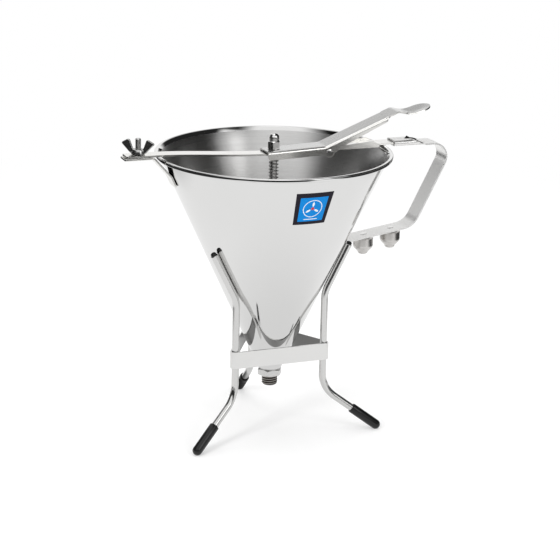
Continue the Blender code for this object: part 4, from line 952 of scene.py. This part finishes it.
def make_handle():
    corners = [at(*corner) for corner in HANDLE_CORNERS] + [at(SLEEVE_MOUTH, HANDLE_LEVEL)]
    flare_start = SLEEVE_MOUTH + SLEEVE_CLOSED + SLEEVE_FLARE
    plain = rounded(corners, HANDLE_BENDS, 14)[:-1] + [at(flare_start, HANDLE_LEVEL)]
    plain = spaced(plain, 0.0025)
    turns = headings(plain)
    turns[-1] = pi
    stations = [(point, turn, 0.0, 1.0) for point, turn in zip(plain, turns)]
    closed_at, opens_over = 0.87, 0.45
    for share in evenly(0.0, 1.0, 48)[1:]:
        point = at(flare_start - SLEEVE_FLARE * share, HANDLE_LEVEL)
        rolled = (eased(share / closed_at) + min(1.0, share / closed_at)) / 2.0
        stations.append((point, pi, rolled, min(1.0, (1.0 - share) / opens_over)))
    for share in evenly(1.0, 0.0, 7)[1:]:
        point = at(SLEEVE_MOUTH + SLEEVE_CLOSED * share, HANDLE_LEVEL)
        stations.append((point, pi, 1.0, 0.0))
    strip = loft("handle_strip", [
        across_strip(point, turn, sleeve_section(rolled, open_share))
        for point, turn, rolled, open_share in stations
    ])
    thicken(strip, HANDLE_SHEET)
    open_piece(strip)
    tidy_mesh()
    round_edges(strip, 0.0003, 3, 55.0)
    shut_flat(strip, 50.0)
    dress(strip, HANDLE_STEEL, "funnel", "handle")
    core = HANDLE_LEVEL + 0.0017
    dark_from, dark_to = SLEEVE_MOUTH + 0.0004, 0.1310

    # Inward faces of the sleeve, between its mouth and the flare, which get painted shade
    def shade_in_sleeve(face):
        offset = face.center.x - AXIS
        inward = face.normal.z * (core - face.center.z) - face.normal.y * face.center.y
        above = face.center.z > HANDLE_LEVEL - 0.0003
        return dark_from < offset < dark_to and above and inward > 0.0

    repaint(strip, PAINTED_SHADE, shade_in_sleeve)


# Lever
LEVER_SHEET = 0.0012
LEVER_CORNERS = (
    (-0.0085, 0.23999), (0.0420, 0.24184), (0.1066, 0.26729), (0.1186, 0.26474), (0.1382, 0.27016),
)
LEVER_BENDS = (0.0100, 0.0060, 0.0220)
LEVER_START, LEVER_END = LEVER_CORNERS[0][0], LEVER_CORNERS[-1][0]
WALLS_TAPER = 0.0420
WALLS_END = 0.0976
NECK = 0.1126
WIDEST = 0.1278
LEVER_HALF = 0.0095
NECK_HALF = 0.0090
SPOON_HALF = 0.0104
PIVOT = (0.0455, 0.237141)


def lever_half(offset):
    """Half the lever's width: even channel, slight neck, round thumb end."""
    if offset <= WALLS_END:
        return LEVER_HALF
    if offset <= NECK:
        return LEVER_HALF + (NECK_HALF - LEVER_HALF) * (offset - WALLS_END) / (NECK - WALLS_END)
    if offset <= WIDEST:
        return NECK_HALF + (SPOON_HALF - NECK_HALF) * eased((offset - NECK) / (WIDEST - NECK))
    share = min(1.0, (offset - WIDEST) / (LEVER_END - WIDEST))
    return max(SPOON_HALF * sqrt(1.0 - share * share), 0.0009)


def wall_reach(point, turn):
    """How far the lever's walls hang below its web, with an ear round the pin."""
    tall, taper, nose, ear = 0.0064, 0.0034, 0.0022, 0.0042
    offset = point.x - AXIS
    reach = tall - taper * min(1.0, max(0.0, (offset - WALLS_TAPER) / (WALLS_END - WALLS_TAPER)))
    gap = nose - (offset - LEVER_START)
    if gap > 0.0:
        reach -= nose - sqrt(max(0.0, nose ** 2 - gap ** 2))
    down = Vector((sin(turn), 0.0, -cos(turn)))
    to_pin = at(*PIVOT) - point
    along = to_pin.dot(down)
    miss = to_pin.length_squared - along * along
    if miss < ear * ear:
        reach = max(reach, along + sqrt(ear * ear - miss))
    return reach


def lever_section(point, turn):
    """Half the lever's section: a channel that flattens into a dished spoon."""
    offset = point.x - AXIS
    half = lever_half(offset)
    turned_down = 1.0 - eased((offset - 0.0950) / 0.0050)
    radius, least_bend, least_lip, depth, dish_share = 0.0016, 0.0004, 0.0003, 0.0017, 0.92
    bend = max(radius * pi / 2.0 * turned_down, least_bend)
    lip = max((wall_reach(point, turn) - radius) * turned_down, least_lip)
    if turned_down < 1.0:
        shrink = min(1.0, half / SPOON_HALF)
        bend, lip = bend * shrink, lip * shrink
    flat = half - (radius * turned_down + (bend + lip) * (1.0 - turned_down))
    share = (offset - NECK) / (LEVER_END - NECK) / dish_share
    dish = depth * sin(pi * share) if 0.0 < share < 1.0 else 0.0
    section = []
    for across, down in folded(flat, (8, 8, 5), bend, pi / 2.0 * turned_down, lip):
        spread = across / half
        section.append((across, down + dish * max(0.0, 1.0 - spread * spread)))
    return section


def make_lever():
    end, before = at(*LEVER_CORNERS[-1]), at(*LEVER_CORNERS[-2])
    path = rounded([at(*corner) for corner in LEVER_CORNERS], LEVER_BENDS, 12)
    path = spaced([point for point in path if point.x < end.x - SPOON_HALF], 0.0010)
    rise = tan(atan2(end.z - before.z, end.x - before.x))
    for quarter in evenly(0.0, pi / 2.0, 16)[1:]:
        place = end.x - SPOON_HALF * (1.0 - sin(quarter))
        path.append(Vector((place, 0.0, end.z - (end.x - place) * rise)))
    rows = [
        across_strip(point, turn, lever_section(point, turn))
        for point, turn in zip(path, headings(path))
    ]
    lever = loft("thumb_lever", rows)
    thicken(lever, LEVER_SHEET)
    open_piece(lever)
    tidy_mesh()
    left, right, half = -0.0054, 0.0036, 0.0032
    outline = arc((right - half, 0.0), half, -90.0, 90.0, 12)
    outline += arc((left + half, 0.0), half, 90.0, 270.0, 12)
    slot = plate("slot", outline, 0.02)
    put_at(slot, at(0.0, 0.2409), ON_ITS_SIDE)
    combine(lever, slot, solver="FAST")
    drill(lever, 0.0023, at(*PIVOT) - ACROSS * 0.02, at(*PIVOT) + ACROSS * 0.02, solver="FAST")
    round_edges(lever, 0.0003, 3, 50.0)
    shut_flat(lever, 45.0)
    dress(lever, SATIN_STRIP, "lever", "lever")
    # The lever's side walls take the paler bracket steel: a painted highlight
    repaint(lever, PALE_STRIP_AND_HIGHLIGHT, lambda face: abs(face.normal.y) > 0.6)


def make_pivot():
    """Cheeks under the bar, from the node's own mesh with whole faces, and the lever's pin."""
    source = bpy.data.objects["pivot_bracket"]
    bracket = bpy.data.objects.new("pivot_cheeks", source.data.copy())
    bpy.context.collection.objects.link(bracket)
    open_piece(bracket)
    join_corners()
    bpy.ops.mesh.dissolve_limited(angle_limit=radians(1.0))
    round_edges(bracket, 0.00022, 2, 40.0)
    shut_flat(bracket)
    dress(bracket, PALE_STRIP_AND_HIGHLIGHT, "funnel", "pivot_bracket")
    # The bracket's upward faces take the darker wing nut steel: painted shade
    repaint(bracket, DARK_STEEL_AND_SHADE, lambda face: face.normal.z > 0.6)

    half, rise, radius, shank = 0.0098, 0.0009, 0.0032, 0.0020
    head = [(0.0, half + rise)] + arc((0.0, half), radius, 75.0, 0.0, 5, rise)
    upper = head + [(radius, half), (shank, half)]
    profile = upper + [(reach, -level) for reach, level in reversed(upper)]
    pin = turned("pivot_rivet", profile, 0.0, 40)
    put_at(pin, at(*PIVOT), ON_ITS_SIDE)
    shut(pin)
    dress(pin, BRIGHT, "funnel", "pivot_pin")


# Rod with its acorn nut, spring and plug
SPRING_TOP = 0.236892
SPRING_LENGTH = 0.0480


def make_rod():
    low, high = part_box("piston_rod")
    radius, chamfer = 0.0027, 0.0003
    ends = [(0.0, low.z), (0.0024, low.z), (radius, low.z + chamfer), (radius, high.z - chamfer)]
    rod = turned("lifting_rod", ends + [(0.0024, high.z), (0.0, high.z)], AXIS, 40)
    shut(rod)
    dress(rod, BRIGHT, "piston", "piston_rod", slot="polished_steel")

    low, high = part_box("cap_nut")
    flats, dome = 0.0092, 0.0042
    corner = flats / 2.0 / cos(pi / 6.0)
    shoulder = low.z + 0.0062
    profile = [(0.0, low.z), (corner - 0.0007, low.z), (corner, low.z + 0.0004)]
    profile += [(corner, shoulder - 0.0005), (dome + 0.0003, shoulder), (dome, shoulder + 0.0003)]
    profile += arc((0.0, high.z - dome), dome, 0.0, 90.0, 16)
    nut = turned("acorn_nut", profile, 0.0, 72)
    mill_hexagon(nut, flats, low.z, high.z)
    round_edges(nut, 0.00012, 2, 35.0)
    put_at(nut, ON_AXIS)
    shut_flat(nut, 30.0)
    dress(nut, BRIGHT, "piston", "cap_nut", slot="polished_steel")

    low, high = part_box("closing_plug")
    wide, narrow = 0.00829, 0.0041
    profile = [(0.0, low.z), (narrow - 0.0003, low.z), (narrow, low.z + 0.0003)]
    profile += [(wide, low.z + 0.0057), (wide, low.z + 0.0114), (wide - 0.0004, low.z + 0.0119)]
    profile += [(wide - 0.0030, high.z - 0.0002), (wide - 0.0034, high.z), (0.0, high.z)]
    plug = turned("tapered_plug", profile, AXIS, 40)
    shut(plug)
    dress(plug, SEAL, "piston", "closing_plug", slot="grey_seal")


def make_spring():
    wire_radius, mean, curls = 0.00055, 0.00355, 17
    start = (mean, 0.0, SPRING_TOP - wire_radius)
    spring = ring("coil_spring", 14, wire_radius, start, ON_ITS_SIDE)
    wind(spring, -(SPRING_LENGTH - 2.0 * wire_radius) / curls, curls, 28)
    open_piece(spring)
    close_holes()
    put_at(spring, ON_AXIS)
    shut(spring, 60.0)
    dress(spring, SPRING_WIRE, "funnel", "spring", slot="spring_steel")
    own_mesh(spring)


# Outlet fitting and spare nozzles
def make_outlet():
    """Hexagonal fitting under the cone's tip, with a thread below it."""
    low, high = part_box("outlet_spigot")
    flats, chamfer = 0.0184, 0.0020
    corner = flats / 2.0 / cos(pi / 6.0)
    hex_top = high.z - 0.0007
    hex_low = hex_top - 0.0060
    bore, throat, collar = 0.0044, 0.0088, 0.0091
    profile = [(throat, high.z), (collar, high.z), (collar, hex_top + 0.0002), (0.0089, hex_top)]
    profile += [(corner - chamfer, hex_top), (corner, hex_top - chamfer / 2.0)]
    profile += [(corner, hex_low + chamfer / 2.0), (corner - chamfer, hex_low), (bore, hex_low)]
    profile += [(bore, high.z - 0.0060), (throat, high.z)]
    fitting = turned("outlet_fitting", profile, 0.0, 72)
    mill_hexagon(fitting, flats, low.z, high.z)
    round_edges(fitting, 0.00018, 2, 28.0)
    put_at(fitting, ON_AXIS)
    shut_flat(fitting, 30.0)
    dress(fitting, SATIN_STRIP, "funnel", "outlet_spigot")

    root, crest, pitch, blank, groove = 0.0057, 0.0066, 0.0019, 0.0067, 0.00640
    screw = threaded(
        "outlet_thread", root, crest, pitch, low.z - 0.0004, hex_low + 0.0004, 64,
    )
    top = hex_low + 0.0002
    ends = [(bore, low.z), (0.0055, low.z), (blank, low.z + 0.0012), (blank, top)]
    ends += [(bore, top), (bore, low.z)]
    combine(screw, turned("ends", ends, 0.0, 72), operation="INTERSECT")
    put_at(screw, ON_AXIS)
    shut(screw, 40.0)
    dress(screw, THREAD_STEEL, "funnel", "outlet_spigot")
    # Faces in the thread's roots are painted dark: painted shade in the grooves
    repaint(screw, THREAD_GROOVE_SHADE, lambda face: hypot(
        face.center.x - AXIS, face.center.y) < groove)


def make_nozzle(name, hole):
    """A screwed cap with a tapered, rounded tip, and the head of its post on the handle."""
    node = "spare_nozzle_" + name
    low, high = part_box(node)
    centre = (low.x + high.x) / 2.0
    body, tip, thread = 0.0085, 0.0044, 0.0063
    taper_top = high.z - 0.0078
    taper_low = taper_top - 0.0044
    seat = high.z - 0.0072
    corners = [(body, high.z - 0.0004), (body, taper_top), (tip, taper_low)]
    profile = [(thread, high.z), (body - 0.0003, high.z), (body, high.z - 0.0003)]
    profile += [(x, z) for x, _, z in rounded([(x, 0.0, z) for x, z in corners], (0.0045,), 8)]
    profile += arc((hole, taper_low), tip - hole, 0.0, -90.0, 8, taper_low - low.z)
    profile += [(hole, seat - thread + hole), (thread, seat), (thread, high.z)]
    nozzle = turned("nozzle_" + name, profile, centre, 64)
    shut(nozzle, 35.0)
    dress(nozzle, NOZZLE_STEEL, "nozzle_" + name, node, slot="polished_steel")

    slope = radians(8.5)
    start = at(*HANDLE_CORNERS[1])
    run = centre - start.x
    rise = run * tan(slope) + HANDLE_SHEET / 2.0 / cos(slope)
    head = [(0.0, 0.00018), (0.0026, 0.00018), (0.0029, 0.0001), (0.0030, -0.0002), (0.0, -0.0002)]
    mark = turned("stud_head_" + name, head, 0.0, 40)
    put_at(mark, start + Vector((run, 0.0, rise)), (0.0, -slope, 0.0))
    shut(mark)
    dress(mark, BRIGHT, "funnel")


def curved_sheet(name, azimuths, ups, steps, point):
    """A sheet round the axis: `point` gives the place of each azimuth and height or elevation."""
    turns = [radians(azimuth) for azimuth in evenly(*azimuths, steps)]
    return loft(name, [[point(turn, up) for turn in turns] for up in evenly(*ups, steps)])


def make_label():
    """A plain square print on the cone's wall."""
    lift, film = 0.00003, 0.00010

    def on_wall(turn, height):
        reach = wall(height) + lift
        return Vector((AXIS + reach * cos(turn), reach * sin(turn), height))

    label = curved_sheet("square_label", (-99.0, -78.5), (0.1970, 0.2254), 16, on_wall)
    thicken(label, film, 1.0)
    shut(label)
    dress(label, LABEL, "funnel", slot="black_vinyl")


make_cone()
for side, shape in LEGS.items():
    make_leg(side, *shape)
make_band()
make_crossbar()
make_clamp()
make_wing_nut()
make_handle()
make_lever()
make_pivot()
make_rod()
make_spring()
make_outlet()
make_nozzle("inner", 0.0015)
make_nozzle("outer", 0.0022)
make_label()
for node in ("nozzle_post_inner", "nozzle_post_outer", "spring_washer", "stop_pin"):
    for entry in bpy.data.objects[node].material_slots:
        entry.material = BRIGHT


# Camera, floor and light
def make_camera():
    camera = bpy.data.objects.new("photo_camera", bpy.data.cameras.new("photo_camera"))
    bpy.context.collection.objects.link(camera)
    turn, tilt, roll = radians(-21.0), radians(16.2), radians(1.16)
    focal, distance, aim_height, film = 1937.0, 1.608, 0.150, 36.0
    centre_x, centre_y, frame_side = 271.9, 255.7, 560.0
    across_floor = cos(tilt)
    back = Vector((sin(turn) * across_floor, -cos(turn) * across_floor, sin(tilt)))
    right = Vector((cos(turn), sin(turn), 0.0))
    up = back.cross(right)
    rolled_right = cos(roll) * right + sin(roll) * up
    rolled_up = -sin(roll) * right + cos(roll) * up
    place = Matrix.Identity(4)
    for column, axis in enumerate((rolled_right, rolled_up, back)):
        for row in range(3):
            place[row][column] = axis[row]
    place.translation = Vector((AXIS, 0.0, aim_height)) + back * distance
    camera.matrix_world = place
    camera.data.sensor_width = film
    camera.data.lens = focal * film / frame_side
    camera.data.shift_x = (frame_side / 2.0 - centre_x) / frame_side
    camera.data.shift_y = (centre_y - frame_side / 2.0) / frame_side
    bpy.context.scene.camera = camera


def make_world():
    """White where the camera, a reflection or glass sees it, and a plain level elsewhere."""
    world = bpy.data.worlds.new("studio")
    bpy.context.scene.world = world
    sky = Nodes(world)
    white = (1.0, 1.0, 1.0, 1.0)
    seen = sky.ray("Camera").most(sky.ray("Glossy")).most(sky.ray("Transmission"))
    plain, bright = [
        sky.node("ShaderNodeBackground", values={"Color": white, "Strength": strength})
        for strength in (0.72, 1.0)
    ]
    mixed = sky.node("ShaderNodeMixShader", values={0: seen, 1: plain, 2: bright})
    sky.show("ShaderNodeOutputWorld", mixed)


def make_floor():
    """White for the camera, with the object's shadow.

    Reflections see a white table that ends in front and at the sides, is a little darker below the
    object and at its back foot as painted shadow, and has a painted bright patch behind the object.
    """
    free_hands()
    bpy.ops.mesh.primitive_plane_add(size=6.0, location=NOWHERE)
    floor = fresh("studio_floor")
    finish = Finish(
        "white_table", (0.9, 0.9, 0.9), 1.0, Specular_IOR_Level=0.0, Emission_Strength=1.0,
    )
    x, y, _ = finish.parts(finish.place())
    front = x * -0.358 + y * -0.934
    side = abs(x * 0.934 - y * 0.358)
    table = front.step(0.55, 0.80, 1.0, 0.0) * side.step(0.30, 0.44, 1.0, 0.0)
    radius = (x * x + y * y) ** 0.5
    # Painted shadow below the object, seen in reflections
    table = table * radius.step(0.06, 0.20, 0.80, 0.93)
    # Painted shadow round the back foot, seen in reflections
    heel_shadow = ((x - AXIS) ** 2.0 + (y - 0.098) ** 2.0) ** 0.5
    table = table * heel_shadow.step(0.014, 0.032, 0.10, 1.0)
    # Painted bright patch behind the object, seen in reflections
    beside, behind = abs(x * 0.891 + y * 0.454), x * 0.454 - y * 0.891
    patch = beside.step(0.16, 0.30, 1.0, 0.0) * behind.step(0.20, 0.35)
    table = table.most(patch * 0.95)
    glossy = finish.ray("Glossy")
    eye = finish.ray("Camera").most(finish.ray("Transmission"))
    seen = eye * radius.step(0.30, 1.00, 0.32, 1.0)
    finish.set("Emission Color", finish.grey(seen + glossy * (table + 0.03)))
    finish.set("Base Color", finish.grey((1.0 - seen) * (1.0 - glossy)))
    floor.data.materials.append(finish.material)


def lamp(name, place, target, size, power):
    light = bpy.data.lights.new(name, "AREA")
    light.shape = "RECTANGLE"
    light.size, light.size_y = size
    light.energy = power
    holder = bpy.data.objects.new(name, light)
    bpy.context.collection.objects.link(holder)
    holder.location = place
    aim = Vector(target) - Vector(place)
    holder.rotation_euler = aim.to_track_quat("-Z", "Y").to_euler()
    holder.visible_glossy = False


def card(name, azimuths, elevations, shade, fades, distance):
    """A curved studio card that only reflections see. Its four edges fade away."""
    eye_level = 0.15

    def around(turn, up):
        rise = radians(up)
        reach = distance * cos(rise)
        height = eye_level + distance * sin(rise)
        return Vector((reach * cos(turn), reach * sin(turn), height))

    sheet = curved_sheet(name, azimuths, elevations, 24, around)
    strength = max(1.0, shade)
    finish = Finish(
        name, (0.0, 0.0, 0.0), 1.0, Specular_IOR_Level=0.0, Emission_Strength=strength,
    )
    across, up, _ = finish.parts(finish.node("ShaderNodeUVMap"))
    start, end, low, high = fades
    mask = across.step(0.0, start) * across.step(1.0 - end, 1.0, 1.0, 0.0)
    mask = mask * up.step(0.0, low) * up.step(1.0 - high, 1.0, 1.0, 0.0)
    level = shade / strength
    finish.set("Emission Color", (level, level, level, 1.0))
    finish.set("Alpha", mask)
    sheet.data.materials.append(finish.material)
    for rays in ("camera", "diffuse", "shadow", "transmission"):
        setattr(sheet, "visible_" + rays, False)


# Cards: azimuths and elevations in degrees, shade, fades of the four edges, distance
CARDS = {
    "right_flag": ((-48.0, 52.0), (-3.0, 66.0), 0.02, (0.14, 0.14, 0.10, 0.12), 1.40),
    "left_flag": ((119.0, 216.0), (-3.0, 62.0), 0.010, (0.14, 0.42, 0.10, 0.12), 1.38),
    "left_upper_flag": ((92.0, 136.0), (12.0, 33.0), 0.02, (0.30, 0.10, 0.22, 0.22), 1.36),
    "left_low_flag": ((158.0, 216.0), (-3.0, 26.0), 0.010, (0.15, 0.12, 0.10, 0.25), 1.33),
    "front_flag": ((-196.0, -40.0), (-4.0, 22.0), 0.03, (0.08, 0.08, 0.12, 0.14), 1.30),
    "window_strip": ((-80.0, -53.0), (8.0, 46.0), 2.10, (0.34, 0.34, 0.20, 0.20), 1.26),
    "front_window": ((-176.0, -76.0), (12.0, 42.0), 1.10, (0.10, 0.16, 0.30, 0.20), 1.44),
    "ceiling_flag": ((-90.0, 60.0), (46.0, 77.0), 0.03, (0.20, 0.20, 0.20, 0.10), 1.46),
    "overhead_glow": ((0.0, 360.0), (78.0, 89.5), 2.0, (0.001, 0.001, 0.40, 0.001), 1.50),
    "upper_screen": ((0.0, 110.0), (20.0, 62.0), 0.55, (0.14, 0.14, 0.30, 0.20), 1.46),
}

make_camera()
make_world()
make_floor()
lamp("overhead_box", (0.0, 0.1, 1.6), (0.0, 0.0, 0.1), (1.2, 1.2), 12.0)
lamp("left_box", (-1.3, -0.9, 1.0), (0.0, 0.0, 0.15), (0.4, 0.5), 11.0)
lamp("front_strip", (0.55, -1.3, 0.95), (0.0, 0.0, 0.22), (0.25, 1.0), 5.0)
for name, shape in CARDS.items():
    card(name, *shape)
bpy.context.scene.view_settings.view_transform = "Standard"

free_hands()
